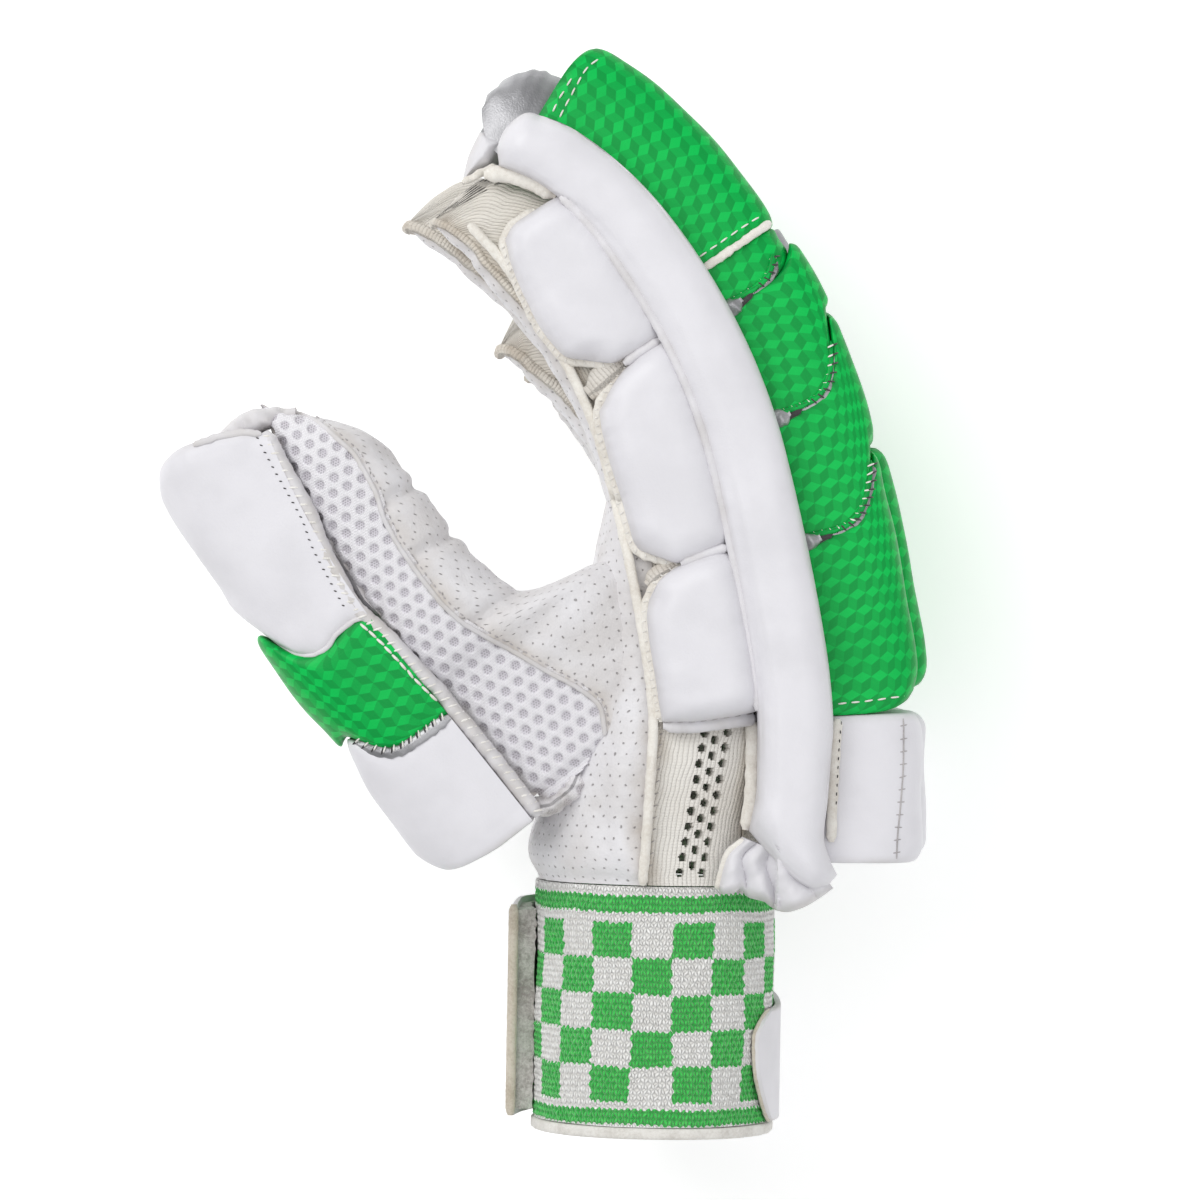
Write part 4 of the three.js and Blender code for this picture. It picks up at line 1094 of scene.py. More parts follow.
# Outlines of the side padding as points of s and n: back edge, palm edge, wrist end and tip end
BAR = ([(4.2, 0.4), (8, -1.5), (14.9, -3.4), (24, -2.4), (34.8, -1.5), (46.3, -0.6), (60, -0.6),
        (180, -0.8), (225, -1.4), (236, -3)],
       [(15.7, -23.3), (19.9, -22.5), (26.6, -21.3), (47.3, -20.9), (120, -21), (180, -20.4), (225, -18.6),
        (239, -20.4)],
       [(4.2, 0.4), (1.3, -2.5), (0.4, -5.8), (1.6, -9.1), (4.8, -13.3), (9, -17.5), (15.7, -23.3)],
       [(236, -3), (239.5, -4.2), (241.6, -7.5), (242.6, -12), (242, -16), (239, -20.4)])
INDEX_PADS = {
    "tip": ([(163.3, -20.2), (182.4, -19.9), (200, -18.9), (218.7, -17.9)],
            [(167.6, -40), (175.2, -45.9), (185.3, -46.8), (201.3, -45), (218, -40.4), (224.6, -36.5)],
            [(163.3, -20.2), (163, -30), (163.4, -34.5), (167.6, -40)],
            [(218.7, -17.9), (222.3, -25.2), (225.2, -33.1), (224.6, -36.5)]),
    "middle": ([(98, -20.7), (120, -20.6), (163, -20.1)],
               [(102.5, -45.2), (105.9, -46.2), (115.1, -46.5), (129.4, -47), (142.4, -46.2), (151, -44.6)],
               [(98, -20.7), (97.8, -24.9), (96.3, -35.3), (98.5, -39.5), (102.5, -45.2)],
               [(163, -20.1), (161.8, -28), (159, -35.5), (151, -44.6)]),
    "base": ([(49.6, -20.6), (70, -20.6), (97.6, -20.7)],
             [(48, -46.6), (57.9, -47.2), (71.3, -47.3), (82.2, -46.8), (87.4, -45.4)],
             [(49.6, -20.6), (48.3, -29.6), (47.6, -38), (48, -46.6)],
             [(97.6, -20.7), (97.3, -27), (95.6, -35.3), (92.9, -41), (87.4, -45.4)])}
# Pads of the little finger's side: marks of both ends, slant of the ends, and share of the width
LITTLE_PADS = {"tip": (1.2, 1.75, 0.1, 0.8), "middle": (0.78, 1.18, 0.25, 1), "base": (0.1, 0.76, 0.1, 1.4)}


def beside(lift):
    """A level as high as lift over the base of the forefinger's side padding"""
    return lambda s, n: side_base(INDEX, s, n) + lift


def trim_side(bar, pads, knit):
    """Bindings, hems and stitches of the forefinger side"""
    guide = INDEX.guide
    for number, (name, lines) in enumerate(INDEX_PADS.items()):
        far, start, end = lines[1:]
        line = far + end[-2:0:-1]
        if name != "base":
            line = start[1:-1] + line
        edge = cord(f"index_side_pad_{name}_binding", along_line(guide, line, 200, beside(1.4)),
                    3.4, 3.2, TAPE, rough=0.12, seed=20 + number)
        sew(f"index_side_pad_{name}_ties", [edge], guide, [(s, n - 0.9) for s, n in line], 2.9, 1.3,
            WHITE_THREAD, 70, radius=0.18)
    for name, line, width in (("tip", [(163.6, -22), (161.9, -32), (158.5, -45)], 9),
                              ("middle", [(98, -22), (97, -30), (94.5, -41), (92, -45)], 5)):
        cord(f"index_side_{name}_fill", along_line(guide, line, 40, beside(0.5)), width, 5,
             SIDE_KNIT, sides=24, seed=26)
    groove = [(50, -20.8), (98, -20.8), (163, -20.3), (182, -20.1), (200, -19.3), (218, -18.3)]
    lay_cord("index_side_groove_welt", [bar] + pads, guide, groove, 2.6, 2.2, WHITE, 0.3,
             0.06)
    for number, notch in enumerate(([(163, -21.5), (162.5, -28), (161.6, -33)],
                                    [(97.8, -21.5), (97.4, -27), (96, -35)])):
        path = along_line(guide, notch, 20, HAND_HALF + SIDE_PAD_RISE - 4.6)
        cord(f"index_side_notch_welt_{number}", path, 2.8, 3.6, WHITE, rough=0.06)
    hem = [(47.6, -21.5), (46.9, -30), (46.2, -38), (46.6, -46.4)]
    lip = cord("index_side_pad_hem", along_line(guide, hem, 60, beside(2.2)), 4.2, 3.6,
               WHITE, rough=0.08, seed=27)
    sew("index_side_pad_hem_stitches", [lip, pads[2]], guide,
        [(s + 1.4, n) for s, n in hem], 3, 1.5, SEAM_SHADE, radius=0.2, arch=0.15)
    crescent = [(219.5, -18.6), (226, -19.2), (232, -20.3), (237.5, -22), (241.4, -24.6)]
    cord("index_tip_crescent", along_line(guide, crescent, 40, HAND_HALF + 2.5), 4.6, 5, TAPE,
         rough=0.08, seed=28)
    fringe = [(239.2, -20.6), (241.5, -22.8), (243.6, -26), (245.6, -29)]
    cord("index_tip_fringe", along_line(guide, fringe, 24, HAND_HALF - 0.5), 2.2, 2.6, TAPE,
         rough=0.3, seed=29)
    sew("piping_ties", [knit], guide, [(4, -50), (45, -46.9)], 3.4, 1.4, SEAM_SHADE, 60,
        radius=0.14, arch=0.1)
    welt = [(15.9, -24.2), (26.6, -22.8), (47.3, -22.2)]
    cord("index_side_bar_welt", along_line(guide, welt, 50, beside(1.6)), 3.6, 3, TAPE, rough=0.1,
         seed=30)


def flap_line(mark, high, shift=0.0, low=-1.0):
    """s and n of a flap's sewn edge on the side of the forefinger"""
    start = float(INDEX.station(mark)) + shift
    return [(start + float(flap_step(n)), float(n)) for n in np.linspace(low, high, 12)]


def trim_flap(name, piece, mark, high):
    """Lip, white stitches with dark copies as their painted shadow, silver lining, a silver fold, and a dark
    cord of painted shadow at the root of one sewn flap
    """
    guide = INDEX.guide
    lip = lay_cord(f"{name}_lip", [piece], guide, flap_line(mark, high, 0.9), 1.7, 1.5,
                   GREEN, 0.35, 0.1, seed=33)
    # The dark ties beside the white ones are painted shadow of the stitches
    for kind, shift, material in (("white", 0.0, WHITE_THREAD), ("dark", 1.1, DARK_THREAD_AND_SHADOW)):
        line = [(s, n + shift) for s, n in flap_line(mark, high, 0.8)]
        sew(f"{name}_{kind}_ties", [lip, piece], guide, line, 2.2, 1.9, material, 65)
    s, n = stroke(flap_line(mark, high, 1.6, 1.5), np.linspace(0, 1, 60)).T
    level = on_top([piece], guide.place(s, n, 0), 0)[:, 2]
    there = np.isfinite(level)
    path = guide.place(s[there] - 1.7, n[there], level[there] - 1.3)
    cord(f"{name}_lining", path, 2.6, 2.4, SILVER, rough=0.2, seed=45)
    root = float(INDEX.station(mark))
    # The silver fold is leather; the dark cord beside it is painted shadow in the notch at the flap's root
    for kind, width, material, low in (("silver", 4.8, SILVER, -2.5), ("black", 1.8, DARK_THREAD_AND_SHADOW, 0.8)):
        line = [(root - 1.5, low), (root - 0.6, low + 3), (root + 0.2, low + 6)]
        cord(f"{name}_{kind}_fold", along_line(guide, line, 24, 45.6), width, width * 0.8,
             material, sides=16, rough=0.35, seed=35 + int(mark * 10))


def trim_rolls(rolls):
    """Flaps, hems and stitches of the rolls on the forefinger side"""
    guide = INDEX.guide
    for name, mark, high in (("index_knuckle_roll", 0.8, 21.5), ("index_middle_roll", 1.085, 20.5),
                             ("index_small_roll", 1.355, 17)):
        trim_flap(name, rolls[name], mark, high)
    guard = [rolls["index_tip_guard"]]
    lay_cord("index_tip_guard_hem", guard, guide,
             [(174.4, -1), (174.6, 6), (174.9, 14), (175.2, 21)], 2.4, 1.6, TAPE, 0.2, 0.2, seed=38)
    lines = {"low": [(177.6, -1), (177.8, 8), (177.9, 16), (177.6, 23)],
             "tip": [(231.6, -1), (232.2, 6), (232.6, 14), (231.4, 19)],
             "tip_far": [(234, -1), (234.4, 5), (234.5, 11)]}
    for name, line in lines.items():
        sew(f"index_tip_guard_{name}_stitches", guard, guide, line, 3.2, 2.2, WHITE_THREAD)
    sew("index_hand_roll_stitches", [rolls["index_hand_roll"]], guide,
        [(50.2, 0.5), (50.4, 8), (50.8, 16), (51.2, 22)], 3.4, 2.2, WHITE_THREAD)
    block = [rolls["wrist_block_thumb_side"]]
    line = [(45.5, 18.7), (34.6, 18.5), (22.4, 17.6), (14.2, 16.8), (8.5, 16.6)]
    sew("wrist_block_cross_stitches", block, guide, line, 3.1, 2.4, SEAM_SHADE, 80,
        radius=0.16, arch=0.1)
    lay_cord("wrist_block_seam", block, guide, line, 0.45, 0.4, SEAM_SHADE, 0.3, 0.1,
             seed=40)
    welt = [(46.2, 0.2), (39, -0.6), (30, -1.2), (22.4, -1.6), (13, -1.8)]
    s, n = stroke(welt, np.linspace(0, 1, 50)).T
    strip = cord("wrist_block_welt", guide.place(s, n + 0.6, HAND_HALF + 0.5), 3.0, 3.4, TAPE,
                 rough=0.1, seed=41)
    sew("wrist_block_welt_ties", [strip], guide, [(s, n + 1.6) for s, n in welt[:-1]],
        2.2, 0.9, DARK_THREAD_AND_SHADOW, radius=0.16, arch=0.1)


def little_lines(start, end, slant, width):
    """The four edges of a pad on the little finger's side"""
    s0, s1 = float(LITTLE.station(start)), float(LITTLE.station(end))
    far = -21 - SIDE_PAD_WIDTH * width
    low, high = s0 + slant * 22, s1 - slant * 22
    return ([(s0, -20.6), (s1, -20.6)], [(low + 3, far), (high - 3, far)],
            [(s0, -20.6), (low, far + 3), (low + 3, far)], [(s1, -20.6), (high, far + 3), (high - 3, far)])


def make_side_padding():
    """The stuffed bars and pads on both sides of the hand"""
    scale = float(LITTLE.station(1.97)) / 239
    other = tuple([(s * scale, n) for s, n in line] for line in BAR)
    made = []
    for finger, side, lines in ((INDEX, 1, BAR), (LITTLE, -1, other)):
        made.append(side_padding(f"{finger.name}_bar_padding", finger, side, lines, BAR_RISE, (190, 30),
                                 (0.42, 0.6, 0.35, 0.4), 8, 11 + side, f"{finger.name}_side_bar"))
    for number, (name, lines) in enumerate(INDEX_PADS.items()):
        made.append(side_padding(f"index_side_pad_{name}_stuffing", INDEX, 1, lines, SIDE_PAD_RISE, (80, 44),
                                 (0.6, 0.4, 0.45, 0.45), 8, 31 + number, f"index_side_pad_{name}"))
    for number, (name, row) in enumerate(LITTLE_PADS.items()):
        side_padding(f"little_side_pad_{name}_stuffing", LITTLE, -1, little_lines(*row), BAR_RISE, (60, 36),
                     (0.74, 0.4, 0.45, 0.45), 8, 41 + number, f"little_side_pad_{name}")
    return made[0], made[2:]


# Rolls on the back

def flap_step(n):
    """How far a sewn flap steps towards the fingertip at height n"""
    return 16 * np.clip(n / 21.5, 0, 1.06) ** 4.6


# Rolls: name, marks of both ends, share of the rise, how much each end follows the flap, and leather
INDEX_ROLLS = [
    ("hand_roll", 0.395, 0.8, 0.97, 0.25, 1, "green"), ("knuckle_roll", 0.8, 1.085, 1, 1, 1, "green"),
    ("middle_roll", 1.085, 1.355, 1, 1, 0.35, "green"), ("small_roll", 1.355, 1.455, 0.86, 0.35, 0, "green"),
    ("tip_guard", 1.455, 1.975, 0.91, 0, -0.2, "green"), ("tip_cap", 1.96, 2.08, 0.4, -0.7, 0, "silver")]
OTHER_ROLLS = [
    ("hand_roll", 0.395, 0.8, 1, 0.25, 1, "green"), ("knuckle_roll", 0.8, 1.085, 0.93, 1, 1, "green"),
    ("middle_roll", 1.085, 1.43, 0.86, 1, 0, "silver"), ("tip_guard", 1.43, 1.9, 0.78, 0, -0.7, "green"),
    ("tip_cap", 1.9, 2.01, 0.36, -0.7, 0, "silver")]


def roll_grid(finger, row, low, high, along, profile, top, seed=0):
    """Points of a roll: along its length and round its section from one end to the other"""
    start, end, share, near, far = row[1:6]
    rise = finger.rise * share
    s0 = float(finger.station(start)) + 0.1
    s1 = float(finger.station(end)) - 0.1
    t = along[:, None]
    cross, z = profile
    level = s0 + (s1 - s0) * t
    sink = finger.sink(np.maximum((level - HAND_LENGTH) / finger.length - 0.05, 0))
    base = -BACK_SINK * sink + GAP * sink ** 4
    edge = base + (rise - base) * 0.3
    gap = np.minimum(t, 1 - t) * (s1 - s0)
    ends = puff(gap, 5.0, 0)
    crest = mix(min(0.82 * finger.rise, rise * 0.95), rise, ends)
    width = mix(0.95, 1, ends)
    n = edge + np.where(z < 0, edge - base, crest - edge) * z if top else base + 0 * z
    step = flap_step(n)
    s = mix(s0 + near * step, s1 + far * step, t)
    half = (high - low) / 2 * width * (1 if top else 0.96)
    if top and seed:
        free = np.clip(gap / 4, 0, 1)
        up = np.maximum(z, 0)
        half = half + 0.28 * uneven(s, n, 19, seed) * free
        n = n + (0.35 * uneven(s, cross * half, 22, seed + 1) - 0.3) * free * up
        creased = np.exp(-gap / 3.5)
        n = n + 0.25 * uneven(s * 0.3, cross * half + n, 4.2, seed + 2) * creased * up
        half = half + 0.15 * uneven(s * 0.3, n, 3.6, seed + 3) * creased
    return finger.guide.place(s, n, (high + low) / 2 + half * cross), s


def make_roll(name, finger, row, low, high, material, node, seed):
    """One stuffed roll, with its flat base"""
    along = dense(34, 0.75)
    profile = arch(44)
    outer, s = roll_grid(finger, row, low, high, along, profile, True, seed)
    floor_line = (np.linspace(-1, 1, len(profile[0])), 0 * profile[0])
    inner = roll_grid(finger, row, low, high, along, floor_line, False)[0]
    across = measure(outer)[0]
    gap = np.minimum(along, 1 - along)[:, None] * (s[-1] - s[0])[None, :]
    piece = slab(name, outer, inner, material, flat=(across, s), seam=gap)
    return finish_piece(piece, (node,))


def make_cap(finger, s0, s1, high, low, seed):
    """The silver dome over a fingertip"""
    t = np.sin(pi / 2 * np.linspace(0, 1, 40))[:, None]
    cross, z = square_point(2.3, 180 - 180 * dense(44, -0.35))
    close = np.maximum(1 - t ** 2.3, 0) ** 0.5
    crest = mix(low + 12, high, close)
    foot = low - 2 + 9 * t ** 3
    half = (FINGER_PITCH / 2 - GAP) * (1 - 0.3 * t ** 3)
    free = np.clip(close * 3, 0, 1) * np.clip(t * 6, 0, 1)
    fold = 0.5 * uneven(t * 30, z * 14 + cross * 4, 7, seed) * free
    n = foot + (crest - foot + fold) * z
    s = mix(s0, s1, t) + 0.9 * uneven(n, cross * 9, 9, seed + 1) * (1 - close) * z
    outer = finger.guide.place(s, n, finger.centre + half * cross)
    flat = np.linspace(-1, 1, len(cross))
    inner = finger.guide.place(mix(s0, s1, t) - 0.3, foot - 0.1 + 0 * flat,
                               finger.centre + half * flat * 0.97)
    node = finger.name + "_tip_cap"
    piece = slab(node + "_leather", outer, inner, SILVER)
    return finish_piece(piece, (node,))


def make_rolls():
    """The rolls, tip guards and caps of the fingers, and the wrist blocks"""
    seed = 100
    rolls = {}
    for finger in FINGERS:
        half = FINGER_PITCH / 2 - GAP / 2
        low, high = finger.centre - half, finger.centre + half
        for row in (INDEX_ROLLS if finger is INDEX else OTHER_ROLLS):
            seed += 5
            node = f"{finger.name}_{row[0]}"
            if row[0] == "tip_cap":
                s0, s1 = float(finger.station(row[1])), float(finger.station(row[2]))
                base = -16 if finger is INDEX else 4 - BACK_SINK * float(finger.sink(0.97))
                crest = 9.5 if finger is INDEX else finger.rise * 0.36
                make_cap(finger, s0 + 0.6, s1 + 1.6, crest, base, seed)
                continue
            material = GREEN if row[6] == "green" else SILVER
            rolls[node] = make_roll(node + "_leather", finger, row, low, high, material,
                                    node, seed)
    for number, (name, share, rise) in enumerate((("thumb_side", 1 / 3, 0.9), ("middle", -1 / 3, 1),
                                                  ("little_side", -1, 0.9))):
        low = HAND_HALF * share + GAP / 2
        row = ("block", 0.06, 0.395, rise * 27 / INDEX.rise, 0, 0)
        node = f"wrist_block_{name}"
        rolls[node] = make_roll(node + "_leather", INDEX, row, low, low + HAND_HALF * 2 / 3 - GAP, WHITE,
                                node, 300 + number * 7)
    return rolls


# Hand, fingers and thumb

def shell(name, section_at, stops, angles, wall, material, nodes, lift=None, outside=None,
          flat=None, base=0.0):
    """A cloth or leather wall round a hollow. lift and base raise its surface, outside cuts cells
    away, and flat gives its flat place"""
    section = section_at(stops)
    outer = round_section(section, angles, 0)
    across, along = flat(outer) if flat else measure(outer)
    if lift is not None:
        outer = round_section(section, angles, -base - lift(across, along, outer))
    inner = round_section(section, angles, wall)
    keep = None
    if outside is not None:
        inside = outside(outer)
        keep = ~(inside[:-1, :-1] & inside[1:, :-1] & inside[:-1, 1:] & inside[1:, 1:])
    whole = measure(outer)[0]
    edge = np.minimum(whole - whole[:, :1], whole[:, -1:] - whole)
    piece = slab(name, outer, inner, material, keep=keep, flat=(across, along), seam=edge)
    return finish_piece(piece, nodes)


def in_hand(points):
    """Which points lie inside the hand"""
    return inside_section(hand_section, INDEX.guide, points, 0.2)


def in_thumb(points):
    """Which points lie inside the thumb"""
    s = THUMB.locate(points)[0]
    inside = inside_section(thumb_section, THUMB, points, LEATHER_WALL)
    return inside & (s > 4) & (s < THUMB_LENGTH)


def make_hand():
    """The palm's leather and the cloth on the back of the hand"""
    stops = np.linspace(0, HAND_LENGTH, 150)
    middle = hand_section(np.array([60.0]))

    def palm_creases(across, along, points):
        waves = 0.5 * uneven(across * 1.6, along * 0.5, 16, 5) + 0.25 * uneven(across, along, 6, 6)
        heel = 1.6 * np.exp(-((along - 7) / 7) ** 2) - 0.9 * np.exp(-((along - 1) / 2.5) ** 2)
        ridge = 1.3 * np.exp(-((across + 52 - along * 0.1) / 3.2) ** 2) * smooth(75, 20, along)
        return waves * 0.55 - 0.3 + heel + ridge

    palm = even_angles(middle, 93.7, 255, 110)
    shell("palm_front_leather", hand_section, stops, palm, LEATHER_WALL, PALM, ("palm",),
          palm_creases, in_thumb)
    back = even_angles(middle, -103.8, 49.4, 60)
    shell("hand_back_cloth", hand_section, stops, back, KNIT_WALL, KNIT, ("hand_back",))


def make_finger_web():
    """The leather that closes the hand round the roots of the fingers"""
    angles = np.linspace(0, 360, 73)
    faces = []
    for stop in (HAND_LENGTH - 0.4, HAND_LENGTH - 2):
        ring = round_section(hand_section(np.array([stop])), angles, 1)[0]
        centre = ring.mean(0)
        faces.append(centre + (ring - centre) * np.linspace(0.02, 1, 12)[:, None, None])
    finish_piece(slab("finger_web_leather", faces[0], faces[1], PALM))


def make_side_knit():
    """The knitted side panel, with open holes in slanted rows"""
    stops = np.linspace(0, HAND_LENGTH, 240)
    angles = even_angles(hand_section(np.array([30.0])), 50.6, 93.4, 72)
    section = hand_section(stops)
    outer = round_section(section, angles, 0)
    inner = round_section(section, angles, KNIT_WALL)
    s, n = INDEX.guide.locate(outer)
    keep = np.ones((len(stops) - 1, len(angles) - 1), bool)
    for row in range(10):
        for column in range(3):
            hole_s = 3.4 + (row + (column % 2) / 2) * 4.4
            hole_n = -42.3 + 0.17 * hole_s + column * 3.1
            away = np.hypot((s - hole_s) * 0.9, n - hole_n)
            keep &= ~(away < 1.2)[:-1, :-1]
    across, along = measure(outer)
    edge = np.minimum(across - across[:, :1], across[:, -1:] - across)
    piece = slab("side_knit_panel", outer, inner, SIDE_KNIT, keep=keep, flat=(across, along), seam=edge)
    return finish_piece(piece, ("side_knit",))


def seam_roll(name, section_at, stops, angle, width, material, seed):
    """The rolled edge where a finger's back is sewn to its palm leather, round the tip and back"""
    last = stops[-1:]
    ends = np.linspace(angle, 360 - angle, 16)[1:-1]
    rings = []
    for inset in (-0.2, 3.0):
        near = round_section(section_at(stops), [angle], inset)[:, 0]
        far = round_section(section_at(stops), [360 - angle], inset)[::-1, 0]
        rings.append(np.concatenate([near, round_section(section_at(last), ends, inset)[0], far]))
    out = rings[0] - rings[1]
    way = np.concatenate([[0], np.cumsum(np.linalg.norm(np.diff(rings[0], axis=0), axis=1))])
    even = np.linspace(0, way[-1], int(way[-1] / 0.9))
    path, up = (np.stack([np.interp(even, way, grid[:, k]) for k in range(3)], -1)
                for grid in (rings[0], out))
    cord(name, path, width, width, material, rough=0.1, seed=seed, up=up)


def make_fingers():
    """The knitted sheath, the palm leather and the rolled edge of each finger"""
    for number, finger in enumerate(FINGERS):
        shares = np.concatenate([np.linspace(-0.02, finger.end - 0.17, 56),
                                 finger.end - 0.16 * np.linspace(1, 0, 32) ** 1.6])
        stops = HAND_LENGTH + finger.length * shares
        middle = finger.section(np.array([HAND_LENGTH + 30.0]))

        def folds(across, along, points, seed=number):
            return 0.4 * uneven(across * 0.6, along * 1.5, 14, 40 + seed)

        shell(f"{finger.name}_sheath", finger.section, stops, even_angles(middle, -128, 128, 66),
              LEATHER_WALL, TIP_KNIT if finger is INDEX else KNIT, (f"{finger.name}_stall",), folds)
        shell(f"{finger.name}_palm_leather", finger.section, stops, even_angles(middle, 130, 230, 32),
              LEATHER_WALL, PALM, (f"{finger.name}_front",), folds)
        roll_stops = HAND_LENGTH + finger.length * np.linspace(0.02, finger.end - 0.006, 80)
        seam_roll(f"{finger.name}_rolled_edge", finger.section, roll_stops, 129,
                  2.3 if finger is INDEX else 3.1, KNIT, 50 + number)


def make_tip_leather():
    """The leather below the forefinger's cap"""
    lines = ([(239.5, -12), (244, -12.6), (248.8, -14.5)], [(240.6, -21.5), (243, -24.5), (246, -28.8)],
             [(239.5, -12), (240.2, -17), (240.6, -21.5)],
             [(248.8, -14.5), (248.4, -20.4), (247.2, -25.3), (246, -28.8)])
    s, n = patch_grid(*lines, np.linspace(0, 1, 24), np.linspace(0, 1, 30))
    gap = np.minimum.reduce(edge_gap(s, n))
    top = 37 + 10.5 * puff(gap, 6, 0.05) + 0.35 * uneven(s, n, 8, 47)
    outer, inner = INDEX.guide.place(s, n, top), INDEX.guide.place(s, n, 30)
    finish_piece(slab("index_tip_leather", outer, inner, SOFT_LEATHER, seam=gap))


# Ends of the thumb's pads as points of n and s, and edges of its mesh and pads as points of s and n
TIP_PAD_END = [(0, 71), (5, 72.4), (10, 72.2), (14.6, 70.8), (18.5, 71.4), (22, 74), (25, 78.5),
               (28, 84.4), (34, 92)]
GREEN_PAD_END = [(0, 37.3), (8, 37.6), (14.6, 38.1), (19, 39.7), (22, 43.1), (24.6, 48), (26, 49.5),
                 (27.6, 48), (29.4, 43.5), (31, 40), (34, 36)]
# Pads of the thumb: name, wrist end, tip end, height along it, and depth of its puckers
THUMB_PADS = [
    ("thumb_base_pad", [(0, 0.4), (10, 0.3), (20.5, 1.6), (27, 3.6), (32, 8), (34, 12)], GREEN_PAD_END,
     [(0, 31.5), (34, 30.8), (44, 29), (52, 27.5)], 0.3),
    ("thumb_middle_pad", GREEN_PAD_END, TIP_PAD_END, [(44, 29.6), (60, 30.6), (84, 28.8)], 0.3),
    ("thumb_tip_pad", TIP_PAD_END,
     [(0, 126.5), (1.4, 127.5), (7.9, 130.3), (22.6, 132), (31.2, 129.9), (34.5, 126)],
     [(84, 30.5), (105, 33.2), (127, 34.4)], 0.6)]
MESH_EDGE = [(-6, -9), (-4.3, -14.6), (-1.3, -21), (2.8, -25.9), (8.4, -30.3), (14.5, -33), (20.6, -31.6),
             (29.6, -27.8), (39.3, -24.1), (48.6, -20.2), (55.7, -17.9), (63.4, -17.1), (81.6, -17),
             (90.5, -17.4), (100.7, -19.1), (110.7, -18.8), (118.4, -16.2), (125, -13), (130.1, -8.2),
             (133.1, -1.6)]
PAD_LINE = [(-2.7, -2.3), (16.5, -2.6), (30.8, -2.5), (48.8, -0.8), (64.6, 0.3), (76.3, 2.4), (85.4, 1.6),
            (94.3, 1), (103.4, -0.3), (120, 0.7), (128, 1.4)]


def thumb_middle(s):
    """Middle plane of the thumb at s"""
    return THUMB_PLACE * between(THUMB_PLACES, s / THUMB_LENGTH)


def thumb_angle(s, n):
    """Angle round the thumb's section at a height n"""
    part = thumb_section(s)
    share = np.clip((n - part["back"]) / (part["depth"] / 2) + 1, -1, 1)
    return np.degrees(np.arccos(np.sign(share) * np.abs(share) ** (part["square"] / 2)))


def make_thumb():
    """The thumb's leather, mesh and stuffed pads"""
    stops = THUMB_LENGTH * np.concatenate([np.linspace(0.04, 0.88, 100), np.linspace(0.885, 1.0135, 34)])
    middle = thumb_section(np.array([70.0]))

    def creases(across, along, points):
        s = THUMB.locate(points)[0]
        outer = smooth(-14, -22, THUMB.locate(points)[1])
        pinch = sum(2.0 * np.exp(-((s - at) / 2.2) ** 2) for at in (95.7, 77, 51.5))
        fullness = 0.9 * uneven(across * 0.4, along * 1.3, 15, 71) + 0.25 * uneven(across, along, 4, 72)
        return fullness * 0.6 - 0.3 - pinch * outer

    even = even_angles(middle, 105, 389.4, 110)
    share = (even - even[0]) / (even[-1] - even[0])
    start = thumb_angle(stops, soft(MESH_EDGE, stops))[:, None]
    leather = shell("thumb_soft_leather", thumb_section, stops, start + (389.4 - start) * share,
                    LEATHER_WALL, PALM, ("thumb_leather",), creases, in_hand, base=0.5)

    def cells(across, along, points):
        tall = MESH_PITCH * STAGGER
        row = np.floor(along / tall)
        x = (across / MESH_PITCH + 0.5 * np.mod(row, 2)) % 1 - 0.5
        y = (along / tall - row - 0.5) * STAGGER
        away = np.hypot(x, y) * MESH_PITCH
        drop = 15 * (1 - smooth(0, 13, THUMB.locate(points)[0] + 4)) ** 1.5
        return -0.8 * (1 - smooth(MESH_HOLE * 0.7, MESH_HOLE * 1.15, away)) + 0.2 - drop

    def thumb_plane(points):
        s, n = THUMB.locate(points)
        return n, s

    fine = THUMB_LENGTH * np.linspace(-0.022, 1.0135, 262)
    start = thumb_angle(fine, soft(MESH_EDGE, fine) - 1.5)[:, None]
    even = even_angles(middle, 30, 130, 104)
    share = (even - even[0]) / (even[-1] - even[0])
    mesh = shell("thumb_spacer_mesh", thumb_section, fine, 30 + (start - 30) * share, LEATHER_WALL, MESH,
                 ("thumb_mesh",), cells, in_hand, flat=thumb_plane)
    pads = []
    for number, (name, low, high, top_line, pucker) in enumerate(THUMB_PADS):
        along = dense(60, 0.75)[:, None]
        cross, z = arch(56)
        gap = np.minimum(along, 1 - along) * (soft(high, 10) - soft(low, 10))
        ends = puff(gap, 7, 0)
        s = soft(low, 15) + (soft(high, 15) - soft(low, 15)) * along + 0 * z
        rise = soft(top_line, s)
        edge = GAP + rise * 0.25
        n = edge + np.where(z < 0, edge - GAP, rise * mix(0.84, 1, ends) - edge) * z
        n = n + 0.5 * uneven(s, cross * 19, 24, 60 + number) * np.maximum(z, 0) * np.clip(gap / 6, 0, 1)
        s = mix(soft(low, n) + 0.15, soft(high, n) - 0.15, along)
        half = THUMB_WIDTH / 2 * mix(0.93, 1, ends)
        half = half + 0.4 * uneven(s, n, 21, 80 + number) * np.clip(gap / 5, 0, 1)
        half = half + pucker * uneven(s * 0.35, n, 4.2, 90 + number) * np.exp(-gap / 6)
        middle_z = thumb_middle(s)
        outer = THUMB.place(s, n, middle_z + half * cross)
        level = np.linspace(-1, 1, len(cross))
        s_low = mix(soft(low, GAP), soft(high, GAP), along) + 0 * z
        inner = THUMB.place(s_low, GAP, middle_z + THUMB_WIDTH / 2 * 0.9 * level)
        green = name == "thumb_middle_pad"
        piece = slab(name + "_stuffing", outer, inner, GREEN if green else WHITE,
                     flat=(measure(outer)[0], s), seam=gap + 0 * cross)
        pads.append(finish_piece(piece, (name,)))
    return leather, mesh, pads


